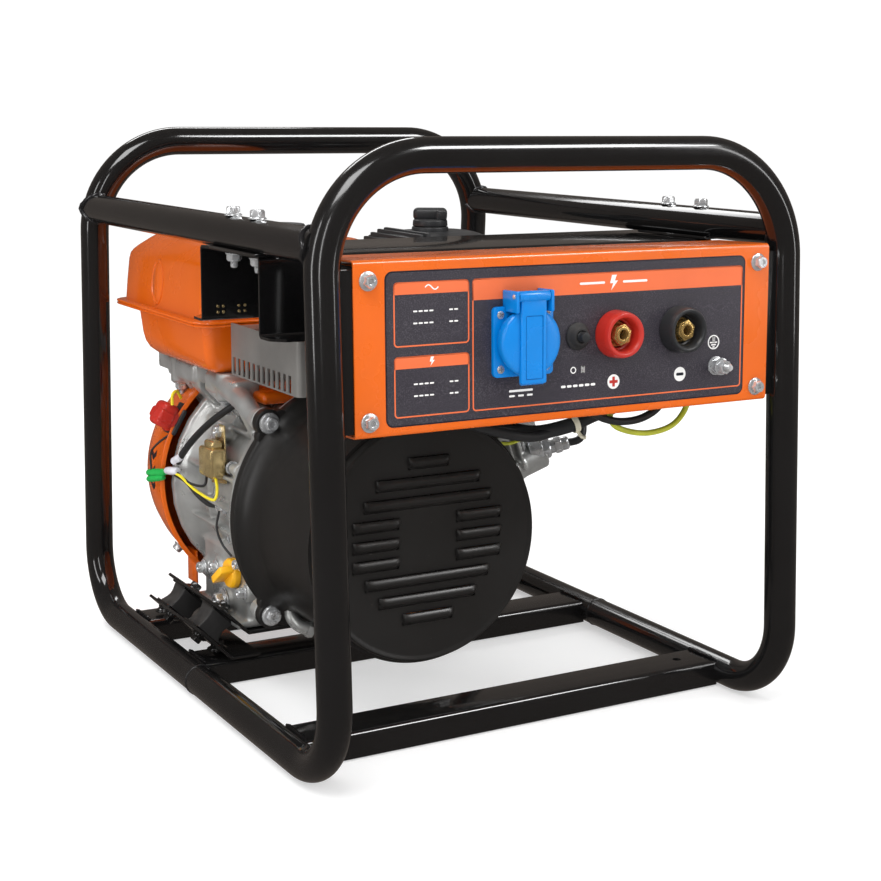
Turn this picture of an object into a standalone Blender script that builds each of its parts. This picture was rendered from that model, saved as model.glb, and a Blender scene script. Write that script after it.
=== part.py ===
"""Engine driven welder: an open tubular frame that carries a petrol engine, an alternator and a
front control panel. Metres, +X to the right of the control panel, +Y towards the recoil starter,
+Z up, origin on the ground under the middle of the frame."""

import math

import bmesh
import bpy
from mathutils import Matrix, Vector

# ---- driving dimensions -------------------------------------------------------------------------
GAP = 0.0003                # clearance between two pieces that touch

TUBE_R = 0.0125             # frame tube, outer radius
TUBE_WALL = 0.0015
HALF_WIDTH = 0.199          # frame centre plane to a post's axis
HALF_DEPTH = 0.255          # frame centre plane to a hoop's axis, at the ground
FRAME_TOP = 0.457
HOOP_LEAN = 0.055           # how far a hoop leans inwards per unit of height
FOOT_BEND = 0.055
TOP_BEND = 0.080
RAIL_Z = 0.385              # axis of the two upper rails

CROSS_TOP = 0.0215          # crossmember channels
CROSS_BOTTOM = 0.001
CROSS_WIDTH = 0.040
CROSS_SHEET = 0.002
CROSS_Y = {"front": -0.167, "middle": 0.030, "rear": 0.162}

BRIDGE_HALF = 0.203         # hat-section bridge under the upper rails
BRIDGE_Y = (-0.141, -0.031)
BRIDGE_TOP = 0.371
BRIDGE_FOOT = 0.314
BRIDGE_SHEET = 0.002
RAIL_BOLT_Y = {"front": -0.131, "rear": -0.087}

PANEL_Y = -0.245            # control panel: lower edge of its face
PANEL_Z = 0.255
PANEL_HALF = 0.179
PANEL_HEIGHT = 0.121
PANEL_SHEET = 0.0015
PANEL_TILT = math.radians(1.72)
DEVICE_Z = 0.060            # row of devices, above the panel's lower edge
SOCKET_X = -0.047
HINGE_UP = 0.0325           # flap hinge above the socket's centre
BREAKER_X = 0.001
POSITIVE_X = 0.034
NEGATIVE_X = 0.092
STUD_X = 0.128
STUD_Z = 0.030

CRANK_X = -0.072            # crankshaft axis, parallel to Y
CRANK_Z = 0.1505
FLANGE_Y = -0.030           # joint plane between the alternator and the engine
FLANGE_R = 0.110
EAR_R = 0.112               # radius of the four flange bolts
LOUVRE_PITCH = 0.0152       # rows of air slots in the end cover
BORE_SLOPE = math.radians(20.0)
BORE_Y = 0.052              # the cylinder's place along the crankshaft
BORE_R = 0.034
THROW = 0.027               # crank pin offset

TANK_X = (-0.175, 0.008)
TANK_Y = (0.037, 0.235)
TANK_Z = (0.2595, 0.2985, 0.3030, 0.3640)   # floor, seam flange bottom and top, crown
CAP_PLACE = (-0.075, 0.105)

CLEANER_X = (0.018, 0.140)
CLEANER_Y = (0.048, 0.158)
CLEANER_Z = (0.2857, 0.2997, 0.3700)        # base plate bottom and top, crown
KNOB_PLACE = (0.072, 0.100)

BASE_Z = 0.04375            # middle of the engine base plate's sheet
BASE_SHEET = 0.0025
BASE_Y = (0.005, 0.128)
WING_INNER = 0.080          # from the crank axis sideways to the wing's fold
WING_OUTER = 0.1045
RUBBER = 0.022              # thickness of a rubber block between its two plates
RUBBER_Y = (0.040, 0.105)

SLOPE = Matrix.Rotation(-BORE_SLOPE, 4, "Y")
CRANK = Matrix.Translation((CRANK_X, 0.0, CRANK_Z))
BORE = CRANK @ Matrix.Translation((0.0, BORE_Y, 0.0)) @ SLOPE
FORWARD = CRANK @ Matrix.Rotation(math.radians(90.0), 4, "X")
PANEL = (Matrix.Translation((0.0, PANEL_Y, PANEL_Z))
         @ Matrix.Rotation(-PANEL_TILT, 4, "X"))
OUTWARD = Matrix.Rotation(math.radians(90.0), 4, "X")

# ---- scene, collections and materials -----------------------------------------------------------
for old in list(bpy.data.objects):
    bpy.data.objects.remove(old)

PARTS = bpy.data.collections.new("engine_driven_welder")
CUTTERS = bpy.data.collections.new("cutters")
for group in (PARTS, CUTTERS):
    bpy.context.scene.collection.children.link(group)

FINISHES = {
    "black_paint": ((0.012, 0.012, 0.014), 0.22, 0.0),
    "orange_paint": ((0.85, 0.16, 0.012), 0.30, 0.0),
    "satin_black": ((0.02, 0.02, 0.02), 0.50, 0.0),
    "cast_aluminium": ((0.45, 0.45, 0.44), 0.50, 1.0),
    "steel": ((0.50, 0.50, 0.50), 0.40, 1.0),
    "zinc": ((0.65, 0.67, 0.68), 0.28, 1.0),
    "brass": ((0.70, 0.52, 0.25), 0.30, 1.0),
    "copper": ((0.60, 0.28, 0.14), 0.40, 1.0),
    "grey_sheet": ((0.42, 0.41, 0.39), 0.50, 0.8),
    "black_plastic": ((0.025, 0.025, 0.028), 0.45, 0.0),
    "blue_plastic": ((0.0, 0.22, 0.72), 0.35, 0.0),
    "red_plastic": ((0.60, 0.02, 0.015), 0.35, 0.0),
    "yellow_plastic": ((0.90, 0.50, 0.02), 0.40, 0.0),
    "rubber": ((0.015, 0.015, 0.015), 0.80, 0.0),
    "earth_wire": ((0.40, 0.42, 0.03), 0.45, 0.0),
}


def paint(obj, finish):
    """Give the object its own Principled material in one of the finishes."""
    colour, roughness, metallic = FINISHES[finish]
    mat = bpy.data.materials.new(obj.name + "_" + finish)
    mat.use_nodes = True
    shader = mat.node_tree.nodes["Principled BSDF"]
    shader.inputs["Base Color"].default_value = (*colour, 1.0)
    shader.inputs["Roughness"].default_value = roughness
    shader.inputs["Metallic"].default_value = metallic
    obj.data.materials.append(mat)


# ---- building blocks ----------------------------------------------------------------------------
def add_object(name, mesh, matrix=Matrix(), finish=None):
    """Link a mesh as a part, or as a cutter when it has no finish."""
    obj = bpy.data.objects.new(name, mesh)
    obj.matrix_world = matrix
    if finish:
        PARTS.objects.link(obj)
        paint(obj, finish)
    else:
        CUTTERS.objects.link(obj)
        obj.hide_render = True
        obj.display_type = "WIRE"
    return obj


def mesh_of(name, bm):
    mesh = bpy.data.meshes.new(name)
    bm.to_mesh(mesh)
    bm.free()
    return mesh


def boxes(name, corners, matrix=Matrix(), finish=None):
    """One mesh with an upright box for each pair of low and high corners."""
    bm = bmesh.new()
    for low, high in corners:
        low, high = Vector(low), Vector(high)
        place = Matrix.Translation((low + high) / 2) @ Matrix.Diagonal((*(high - low), 1.0))
        bmesh.ops.create_cube(bm, size=1.0, matrix=place)
    return add_object(name, mesh_of(name, bm), matrix, finish)


def rods(name, ends, radius, matrix=Matrix(), finish=None, sides=20):
    """One mesh with a round bar for each pair of end points."""
    bm = bmesh.new()
    for start, end in ends:
        start, end = Vector(start), Vector(end)
        turn = (end - start).to_track_quat("Z", "Y").to_matrix().to_4x4()
        place = Matrix.Translation((start + end) / 2) @ turn
        bmesh.ops.create_cone(bm, cap_ends=True, segments=sides, radius1=radius,
                              radius2=radius, depth=(end - start).length, matrix=place)
    mesh = mesh_of(name, bm)
    mesh.shade_smooth()
    mesh.set_sharp_from_angle(angle=math.radians(40.0))
    return add_object(name, mesh, matrix, finish)


def turned(name, profile, matrix=Matrix(), finish=None, steps=32, ring=True):
    """Turn a (radius, height) profile about the local Z axis. It runs down the outer side, and
    a ring's profile is closed while a solid's starts and ends on the axis."""
    bm = bmesh.new()
    points = [bm.verts.new((radius, 0.0, height)) for radius, height in profile]
    for start, end in zip(points, points[1:]):
        bm.edges.new((start, end))
    if ring:
        bm.edges.new((points[-1], points[0]))
    obj = add_object(name, mesh_of(name, bm), matrix, finish)
    screw = obj.modifiers.new("turn", "SCREW")
    screw.steps = screw.render_steps = steps
    screw.use_merge_vertices = True
    screw.merge_threshold = 0.00001
    return obj


def sheet(name, fold, run, thickness, matrix=Matrix(), finish=None):
    """Folded sheet: the fold line's points, extruded by the vector run."""
    bm = bmesh.new()
    points = [bm.verts.new(point) for point in fold]
    edges = [bm.edges.new(pair) for pair in zip(points, points[1:])]
    grown = bmesh.ops.extrude_edge_only(bm, edges=edges)["geom"]
    moved = [item for item in grown if isinstance(item, bmesh.types.BMVert)]
    bmesh.ops.translate(bm, verts=moved, vec=run)
    obj = add_object(name, mesh_of(name, bm), matrix, finish)
    shell = obj.modifiers.new("sheet", "SOLIDIFY")
    shell.thickness = thickness
    shell.offset = 0.0
    shell.use_even_offset = True
    return obj


def bent_path(corners, radii, steps=6):
    """Points along straight runs joined by arcs of the given radii at the inner corners."""
    path = [Vector(corners[0])]
    for before, corner, after, radius in zip(corners, corners[1:], corners[2:], radii):
        corner = Vector(corner)
        back = (Vector(before) - corner).normalized()
        ahead = (Vector(after) - corner).normalized()
        half = back.angle(ahead) / 2
        centre = corner + (back + ahead).normalized() * (radius / math.sin(half))
        first = corner + back * (radius / math.tan(half)) - centre
        last = corner + ahead * (radius / math.tan(half)) - centre
        path += [centre + first.slerp(last, i / steps) * radius / first.slerp(
            last, i / steps).length for i in range(steps + 1)]
    return path + [Vector(corners[-1])]


def smooth_path(knots, steps=5):
    """Points on a smooth curve through the knots."""
    knots = [Vector(knot) for knot in knots]
    ends = [2 * knots[0] - knots[1]] + knots + [2 * knots[-1] - knots[-2]]
    path = []
    for p0, p1, p2, p3 in zip(ends, ends[1:], ends[2:], ends[3:]):
        for i in range(steps):
            t = i / steps
            path.append(0.5 * (2 * p1 + (p2 - p0) * t + (2 * p0 - 5 * p1 + 4 * p2 - p3) * t ** 2
                               + (3 * p1 - p0 - 3 * p2 + p3) * t ** 3))
    return path + [knots[-1]]


def tube(name, path, radius, finish=None, resolution=2, capped=True):
    """Round tube along a path, as a mesh with closed or open ends."""
    curve = bpy.data.curves.new(name + "_path", "CURVE")
    curve.dimensions = "3D"
    curve.bevel_depth = radius
    curve.bevel_resolution = resolution
    curve.use_fill_caps = capped
    spline = curve.splines.new("POLY")
    spline.points.add(len(path) - 1)
    for point, place in zip(spline.points, path):
        point.co = (*place, 1.0)
    guide = add_object(name + "_guide", curve)
    bpy.context.view_layer.update()
    evaluated = guide.evaluated_get(bpy.context.evaluated_depsgraph_get())
    mesh = bpy.data.meshes.new_from_object(evaluated)
    bpy.data.objects.remove(guide)
    bm = bmesh.new()
    bm.from_mesh(mesh)
    bmesh.ops.remove_doubles(bm, verts=bm.verts, dist=0.00001)
    bm.to_mesh(mesh)
    bm.free()
    return add_object(name, mesh, Matrix(), finish)


def hollow(obj, wall):
    """Turn a surface into a wall that grows inwards."""
    shell = obj.modifiers.new("wall", "SOLIDIFY")
    shell.thickness = wall
    shell.offset = -1.0
    shell.use_even_offset = True


def open_box(name, low, high, side, wall, matrix, finish):
    """Sheet metal box without its face towards the given side."""
    bm = bmesh.new()
    low, high = Vector(low), Vector(high)
    place = Matrix.Translation((low + high) / 2) @ Matrix.Diagonal((*(high - low), 1.0))
    bmesh.ops.create_cube(bm, size=1.0, matrix=place)
    lid = [face for face in bm.faces if face.normal.dot(Vector(side)) > 0.9]
    bmesh.ops.delete(bm, geom=lid, context="FACES_ONLY")
    obj = add_object(name, mesh_of(name, bm), matrix, finish)
    hollow(obj, wall)
    return obj


def combine(obj, tool, operation="DIFFERENCE"):
    """Cut a tool from a part, or join it on with UNION."""
    step = obj.modifiers.new(tool.name, "BOOLEAN")
    step.operation = operation
    step.solver = "EXACT"
    step.object = tool


def round_edges(obj, width, segments=2, angle=40.0):
    bevel = obj.modifiers.new("edges", "BEVEL")
    bevel.width = width
    bevel.segments = segments
    bevel.limit_method = "ANGLE"
    bevel.angle_limit = math.radians(angle)


def tub(name, low, high, flat, radius, finish=None):
    """Box with rounded edges, except those around the face towards the flat side."""
    bm = bmesh.new()
    low, high, flat = Vector(low), Vector(high), Vector(flat)
    place = Matrix.Translation((low + high) / 2) @ Matrix.Diagonal((*(high - low), 1.0))
    bmesh.ops.create_cube(bm, size=1.0, matrix=place)
    edges = [edge for edge in bm.edges
             if not any(face.normal.dot(flat) > 0.9 for face in edge.link_faces)]
    bmesh.ops.bevel(bm, geom=edges, offset=radius, segments=3, profile=0.5, affect="EDGES")
    return add_object(name, mesh_of(name, bm), Matrix(), finish)


def put_origin(obj, point):
    """Move a part's origin onto its joint axis, leaving the shape where it is."""
    point = Vector(point)
    obj.data.transform(Matrix.Translation(-(obj.matrix_world.inverted() @ point)))
    turn = obj.matrix_world.to_quaternion().to_matrix().to_4x4()
    obj.matrix_world = Matrix.Translation(point) @ turn


def on_panel(x, y, z):
    """World place of a point given across, into and up the control panel."""
    return PANEL @ Vector((x, y, z))


# ---- frame --------------------------------------------------------------------------------------
def hoop_path(end):
    """Centre line of one hoop: half of each side rail, two posts and the top bar."""
    seam = end * GAP / 2
    top = FRAME_TOP - TUBE_R
    upper_y = end * (HALF_DEPTH - HOOP_LEAN * (top - TUBE_R))
    corners = [(-HALF_WIDTH, seam, TUBE_R), (-HALF_WIDTH, end * HALF_DEPTH, TUBE_R),
               (-HALF_WIDTH, upper_y, top), (HALF_WIDTH, upper_y, top),
               (HALF_WIDTH, end * HALF_DEPTH, TUBE_R), (HALF_WIDTH, seam, TUBE_R)]
    return bent_path(corners, [FOOT_BEND, TOP_BEND, TOP_BEND, FOOT_BEND])


def frame():
    clearance = {}
    for label, end in (("front", -1.0), ("rear", 1.0)):
        path = hoop_path(end)
        hoop = tube(label + "_hoop", path, TUBE_R, "black_paint", 4, False)
        hollow(hoop, TUBE_WALL)
        clearance[label] = tube(label + "_clearance", path, TUBE_R + GAP, None, 4)
    upper_rails(clearance)
    crossmembers(clearance)
    bridge()


def upper_rails(clearance):
    reach = HALF_DEPTH - HOOP_LEAN * (RAIL_Z - TUBE_R)
    for label, x in (("left", -HALF_WIDTH), ("right", HALF_WIDTH)):
        path = [(x, -reach, RAIL_Z), (x, reach, RAIL_Z)]
        rail = tube("upper_rail_" + label, path, TUBE_R, "black_paint", 4, False)
        hollow(rail, TUBE_WALL)
        for cutter in clearance.values():
            combine(rail, cutter)
        holes = rods("rail_holes_" + label, [((x, y, RAIL_Z - 0.02), (x, y, RAIL_Z + 0.02))
                                             for y in RAIL_BOLT_Y.values()], 0.0034, sides=12)
        combine(rail, holes)
        for place, y in RAIL_BOLT_Y.items():
            rail_bolt("rail_bolt_" + label + "_" + place, x, y)


def rail_bolt(name, x, y):
    """Flange bolt with its nut, through an upper rail and the bridge."""
    seat = RAIL_Z + TUBE_R + GAP
    nut = BRIDGE_TOP - BRIDGE_SHEET / 2 - GAP
    profile = [(0.0, seat + 0.0062), (0.0055, seat + 0.0062), (0.0055, seat + 0.0012),
               (0.0069, seat + 0.0010), (0.0069, seat), (0.0030, seat), (0.0030, nut),
               (0.0058, nut), (0.0058, nut - 0.0060), (0.0030, nut - 0.0060),
               (0.0030, nut - 0.0110), (0.0, nut - 0.0110)]
    turned(name, profile, Matrix.Translation((x, y, 0.0)), "zinc", 10, ring=False)


def crossmembers(clearance):
    half = (CROSS_WIDTH - CROSS_SHEET) / 2
    top = CROSS_TOP - CROSS_SHEET / 2
    reach = HALF_WIDTH - 0.004
    for label, y in CROSS_Y.items():
        fold = [(-reach, y - half, CROSS_BOTTOM), (-reach, y - half, top),
                (-reach, y + half, top), (-reach, y + half, CROSS_BOTTOM)]
        bar = sheet(label + "_crossmember", fold, (2 * reach, 0.0, 0.0), CROSS_SHEET,
                    finish="black_paint")
        combine(bar, clearance["front" if y < 0 else "rear"])
        if label == "front":
            holes = rods("hold_down_holes", [((x, y, 0.0), (x, y, 0.03))
                                                  for x in (-0.163, 0.163)], 0.0035, sides=12)
            combine(bar, holes)


def bridge():
    """Hat-section bridge: a channel with its two feet turned outwards."""
    front, rear = BRIDGE_Y
    fold = [(-BRIDGE_HALF, rear + 0.027, BRIDGE_FOOT), (-BRIDGE_HALF, rear, BRIDGE_FOOT),
            (-BRIDGE_HALF, rear, BRIDGE_TOP), (-BRIDGE_HALF, front, BRIDGE_TOP),
            (-BRIDGE_HALF, front, BRIDGE_FOOT), (-BRIDGE_HALF, front - 0.026, BRIDGE_FOOT)]
    hat = sheet("bridge_bracket", fold, (2 * BRIDGE_HALF, 0.0, 0.0), BRIDGE_SHEET,
                finish="black_paint")
    holes = rods("bridge_holes", [((x, y, BRIDGE_TOP - 0.01), (x, y, BRIDGE_TOP + 0.01))
                                  for x in (-HALF_WIDTH, HALF_WIDTH)
                                  for y in RAIL_BOLT_Y.values()], 0.0034, sides=12)
    combine(hat, holes)


# ---- control panel ------------------------------------------------------------------------------
def control_panel():
    face = open_box("control_panel", (-PANEL_HALF, 0.0, 0.0), (PANEL_HALF, 0.060, PANEL_HEIGHT),
                    (0, 1, 0), PANEL_SHEET, PANEL, "orange_paint")
    low, high = 0.0016, PANEL_HEIGHT - PANEL_SHEET - 0.0001
    for waste in (((-0.20, 0.015, -0.01), (0.20, 0.070, high)),
                  ((-0.20, 0.002, low), (-0.1770, 0.016, high)),
                  ((0.1770, 0.002, low), (0.20, 0.016, high))):
        combine(face, boxes("panel_cut", [waste], PANEL))
    for name, x, z, radius in (("socket_hole", SOCKET_X, DEVICE_Z, 0.0225),
                               ("breaker_hole", BREAKER_X, DEVICE_Z, 0.0066),
                               ("positive_hole", POSITIVE_X, DEVICE_Z, 0.0085),
                               ("negative_hole", NEGATIVE_X, DEVICE_Z, 0.0085),
                               ("stud_hole", STUD_X, STUD_Z, 0.0034)):
        combine(face, rods(name, [((x, -0.01, z), (x, 0.01, z))], radius, PANEL))
    corners = [((x, -0.01, z), (x, 0.01, z)) for x in (-0.168, 0.168) for z in (0.011, 0.107)]
    combine(face, rods("panel_bolt_holes", corners, 0.0033, PANEL, sides=12))

    box = open_box("control_box", (-0.1715, 0.0155, 0.006), (0.1715, 0.068, 0.1165),
                   (0, -1, 0), 0.0012, PANEL, "black_paint")
    combine(box, boxes("wire_slot", [((0.070, 0.040, 0.0), (0.100, 0.060, 0.01))], PANEL))

    fins = [((0.002, 0.0455, 0.020), (0.110, 0.0515, 0.098))]
    fins += [((0.002 + i * 0.0135, 0.0505, 0.020), (0.0045 + i * 0.0135, 0.0660, 0.098))
             for i in range(8)] + [((0.1075, 0.0505, 0.020), (0.1100, 0.0660, 0.098))]
    sink = boxes("rectifier", fins[:1], PANEL, "cast_aluminium")
    combine(sink, boxes("rectifier_fins", fins[1:], PANEL), "UNION")
    socket()
    breaker()
    terminal("positive", POSITIVE_X, "red_plastic")
    terminal("negative", NEGATIVE_X, "black_plastic")
    stud = [(0.0, 0.0190), (0.0030, 0.0190), (0.0030, 0.0140), (0.0056, 0.0138),
            (0.0056, 0.0090), (0.0068, 0.0088), (0.0068, 0.0072), (0.0056, 0.0070),
            (0.0056, 0.0020), (0.0075, 0.0018), (0.0075, GAP), (0.0030, GAP),
            (0.0030, -0.0018), (0.0056, -0.0018), (0.0056, -0.0068), (0.0030, -0.0068),
            (0.0030, -0.0120), (0.0, -0.0120)]
    place = PANEL @ Matrix.Translation((STUD_X, 0.0, STUD_Z)) @ OUTWARD
    turned("earth_stud", stud, place, "zinc", 12, ring=False)


def socket():
    x, z = SOCKET_X, DEVICE_Z
    base = boxes("socket_base", [((x - 0.025, -0.0040, z - 0.025), (x + 0.025, -GAP, z + 0.025))],
                 PANEL, "blue_plastic")
    combine(base, rods("socket_body", [((x, -0.0100, z), (x, 0.034, z))], 0.0220, PANEL,
                       sides=28), "UNION")
    hinge = [((x - 0.013, -0.0093, z + 0.021), (x + 0.013, -GAP, z + 0.0310)),
             ((x - 0.0156, -0.0200, z + 0.0212), (x - 0.0132, -GAP, z + HINGE_UP + 0.0040)),
             ((x + 0.0132, -0.0200, z + 0.0212), (x + 0.0156, -GAP, z + HINGE_UP + 0.0040))]
    for number, corners in enumerate(hinge):
        combine(base, boxes("socket_ear_" + str(number), [corners], PANEL), "UNION")
    combine(base, rods("socket_well", [((x, -0.0110, z), (x, 0.012, z))], 0.0195, PANEL))
    combine(base, rods("socket_pins", [((x + side, 0.0, z), (x + side, 0.030, z))
                                       for side in (-0.0095, 0.0095)], 0.0025, PANEL, sides=12))

    flap = rods("socket_flap", [((x, -0.0155, z), (x, -0.0103, z))], 0.0245, PANEL,
                "blue_plastic", 28)
    rib = [((x - 0.0112, -0.0190, z - 0.0290), (x + 0.0112, -0.0135, z + HINGE_UP - 0.0010))]
    combine(flap, boxes("flap_rib", rib, PANEL), "UNION")
    combine(flap, rods("flap_knuckle", [((x - 0.0128, -0.0160, z + HINGE_UP),
                                         (x + 0.0128, -0.0160, z + HINGE_UP))], 0.0038, PANEL,
                       sides=14), "UNION")
    put_origin(flap, on_panel(x, -0.0160, z + HINGE_UP))


def breaker():
    x, z = BREAKER_X, DEVICE_Z
    body = boxes("breaker_body", [((x - 0.015, 0.0019, z - 0.017), (x + 0.015, 0.040, z + 0.017))],
                 PANEL, "black_plastic")
    place = PANEL @ Matrix.Translation((x, 0.0, z)) @ OUTWARD
    boot = [(0.0, 0.0065), (0.0062, 0.0065), (0.0098, 0.0025), (0.0098, GAP), (0.0062, GAP),
            (0.0062, -0.0050), (0.0, -0.0050)]
    combine(body, turned("breaker_boot", boot, place, steps=20, ring=False), "UNION")
    combine(body, rods("breaker_bore", [((x, -0.01, z), (x, 0.012, z))], 0.0043, PANEL))
    cap = [(0.0, 0.0125), (0.0030, 0.0120), (0.0039, 0.0105), (0.0039, -0.0050), (0.0, -0.0050)]
    turned("breaker_button", cap, place, "black_plastic", 16, ring=False)


def terminal(label, x, finish):
    """Panel terminal: an insulating cup with a brass insert that carries the welding current."""
    place = PANEL @ Matrix.Translation((x, 0.0, DEVICE_Z)) @ OUTWARD
    cup = [(0.0158, 0.0150), (0.0168, 0.0125), (0.0176, GAP), (0.0100, GAP), (0.0100, 0.0040),
           (0.0118, 0.0050), (0.0128, 0.0150)]
    turned(label + "_terminal", cup, place, finish, 24)
    shank = [(0.0, 0.0120), (0.0082, 0.0120), (0.0082, GAP), (0.0070, GAP), (0.0070, -0.0300),
             (0.0, -0.0300)]
    insert = turned(label + "_insert", shank, place, "brass", 12, ring=False)
    combine(insert, rods(label + "_bore", [((0, 0, 0.0130), (0, 0, -0.015))], 0.0040, place,
                         sides=16))


# ---- alternator ---------------------------------------------------------------------------------
def ears(name, low, high, radius):
    """Four round bars at the flange bolts, from one height to another along the crank axis."""
    places = [(EAR_R * math.cos(turn), EAR_R * math.sin(turn))
              for turn in (math.radians(45.0 + 90.0 * i) for i in range(4))]
    return rods(name, [((x, y, low), (x, y, high)) for x, y in places], radius, FORWARD, sides=16)


def alternator():
    flange = -FLANGE_Y
    shell = [(0.0980, 0.149), (0.0980, 0.062), (0.1000, 0.050), (0.1045, 0.041), (0.1100, 0.038),
             (0.1100, flange), (0.0990, flange), (0.0965, 0.046), (0.0950, 0.058), (0.0950, 0.149)]
    housing = turned("alternator_housing", shell, FORWARD, "satin_black", 36)
    combine(housing, ears("housing_ears", flange, 0.0385, 0.0110), "UNION")
    combine(housing, ears("housing_ear_holes", flange - 0.005, 0.045, 0.0034))
    spokes = []
    for index in range(3):
        turn = math.radians(90.0 + 120.0 * index)
        way = Vector((math.cos(turn), math.sin(turn), 0.0))
        spokes.append((way * 0.020 + Vector((0, 0, 0.1395)), way * 0.0965 + Vector((0, 0, 0.1395))))
    for index, spoke in enumerate(spokes):
        combine(housing, rods("housing_spoke_" + str(index), [spoke], 0.0045, FORWARD, sides=8),
                "UNION")
    hub = [(0.0240, 0.1460), (0.0240, 0.1345), (0.0104, 0.1345), (0.0104, 0.1460)]
    combine(housing, turned("housing_hub", hub, FORWARD, steps=24), "UNION")

    lid = [(0.0, 0.1555), (0.0925, 0.1555), (0.0945, 0.1535), (0.0945, 0.1475), (0.0930, 0.1475),
           (0.0930, 0.1540), (0.0, 0.1540)]
    cover = turned("alternator_end_cover", lid, FORWARD, "satin_black", 36, ring=False)
    combine(cover, boxes("cover_louvres", louvre_slots(), FORWARD))

    core = [(0.0800, 0.130), (0.0900, 0.128), (0.0900, 0.1205), (0.0945, 0.120), (0.0945, 0.060),
            (0.0900, 0.0595), (0.0900, 0.052), (0.0800, 0.050), (0.0700, 0.052), (0.0665, 0.060),
            (0.0665, 0.120), (0.0700, 0.128)]
    turned("stator", core, FORWARD, "copper", 24)
    turned("rotor", [(0.0650, 0.118), (0.0650, 0.062), (0.0151, 0.062), (0.0151, 0.118)],
           FORWARD, "steel", 24)


def louvre_slots():
    """Air slots of the end cover, low and high corners across, up and along the crank axis."""
    half = (0.0135, 0.0410, 0.0510, 0.0, 0.0, 0.0, 0.0500, 0.0385, 0.0180)
    rows = [(0.0656 - LOUVRE_PITCH * number, [(-reach, reach)] if reach else
             [(-0.0605, -0.0290), (0.0290, 0.0605)]) for number, reach in enumerate(half)]
    return [((left, height - 0.0012, 0.150), (right, height + 0.0012, 0.160))
            for height, spans in rows for left, right in spans]


# ---- engine -------------------------------------------------------------------------------------
def engine():
    crankcase()
    turned("crankcase_cover", [(0.1080, 0.0297), (0.1080, 0.0215), (0.0860, 0.0180),
                               (0.0860, -0.0100), (0.0135, -0.0100), (0.0135, 0.0297)],
           FORWARD, "cast_aluminium", 32)
    cover = bpy.data.objects["crankcase_cover"]
    combine(cover, ears("cover_ears", 0.0215, 0.0297, 0.0110), "UNION")
    combine(cover, ears("cover_ear_holes", 0.015, 0.0350, 0.0030))

    boxes("cylinder_head", [((0.1583, -0.046, -0.050), (0.1860, 0.046, 0.050))], BORE,
          "cast_aluminium")
    cap = boxes("rocker_cover", [((0.1863, -0.038, -0.043), (0.2125, 0.038, 0.043))], BORE,
                "zinc")
    round_edges(cap, 0.007)

    crankshaft()
    wheel = turned("flywheel", [(0.0850, -0.131), (0.0850, -0.146), (0.0103, -0.146),
                                (0.0103, -0.131)], FORWARD, "cast_aluminium", 32)
    for index in range(12):
        turn = FORWARD @ Matrix.Rotation(math.radians(30.0 * index), 4, "Z")
        blade = boxes("blade_" + str(index), [((0.046, -0.0015, -0.165), (0.083, 0.0015, -0.1455))],
                      turn)
        combine(wheel, blade, "UNION")
    starter()
    fuel_system()
    exhaust()
    controls()


def crankcase():
    body = turned("crankcase", [(0.0, -0.0103), (0.0840, -0.0103), (0.0840, -0.1180),
                                (0.1010, -0.1185), (0.1010, -0.1270), (0.0, -0.1270)],
                  FORWARD, "cast_aluminium", 32, ring=False)
    left, right = CRANK_X - 0.078, CRANK_X + 0.078
    sump = boxes("sump", [((left, 0.0103, 0.0455), (right, 0.112, 0.110))])
    round_edges(sump, 0.005, 1)
    combine(body, sump, "UNION")
    combine(body, boxes("barrel", [((0.040, -0.040, -0.046), (0.158, 0.040, 0.046))], BORE),
            "UNION")
    fins = [((0.088 + 0.009 * i, -0.041, -0.056), (0.0905 + 0.009 * i, 0.0445, 0.056))
            for i in range(8)]
    combine(body, boxes("fins", fins, BORE), "UNION")
    rise = [(-0.152, 0.2585), (-0.096, 0.2585), (-0.075, 0.222), (-0.098, 0.205),
            (-0.121, 0.205), (-0.152, 0.236)]
    for index, y in enumerate((0.082, 0.1175)):
        combine(body, bracket_arm("tank_arm_" + str(index), rise, y, 0.009), "UNION")
    combine(body, boxes("tank_bar", [((-0.152, 0.070, 0.2420), (-0.133, 0.208, 0.2585))]), "UNION")

    combine(body, rods("crank_chamber", [((0, 0, 0.0), (0, 0, -0.098))], 0.062, FORWARD, sides=32))
    combine(body, rods("main_bearing", [((0, 0, -0.09), (0, 0, -0.135))], 0.0131, FORWARD))
    combine(body, rods("cylinder_bore", [((0.050, 0, 0), (0.165, 0, 0))], BORE_R, BORE, sides=28))
    combine(body, rods("filler_hole", [((left - 0.01, 0.038, 0.088), (left + 0.020, 0.038, 0.088))],
                       0.0092))


def bracket_arm(name, outline, y, half):
    """Flat outline in the XZ plane, given thickness along Y."""
    curve = bpy.data.curves.new(name, "CURVE")
    curve.dimensions = "2D"
    curve.fill_mode = "BOTH"
    curve.extrude = half
    spline = curve.splines.new("POLY")
    spline.points.add(len(outline) - 1)
    spline.use_cyclic_u = True
    for point, (across, up) in zip(spline.points, outline):
        point.co = (across, up, 0.0, 1.0)
    guide = add_object(name + "_guide", curve)
    bpy.context.view_layer.update()
    evaluated = guide.evaluated_get(bpy.context.evaluated_depsgraph_get())
    mesh = bpy.data.meshes.new_from_object(evaluated)
    bpy.data.objects.remove(guide)
    bm = bmesh.new()
    bm.from_mesh(mesh)
    bmesh.ops.remove_doubles(bm, verts=bm.verts, dist=0.00001)
    bmesh.ops.recalc_face_normals(bm, faces=bm.faces)
    bm.to_mesh(mesh)
    bm.free()
    return add_object(name, mesh, Matrix.Translation((0.0, y, 0.0)) @ OUTWARD)


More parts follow.
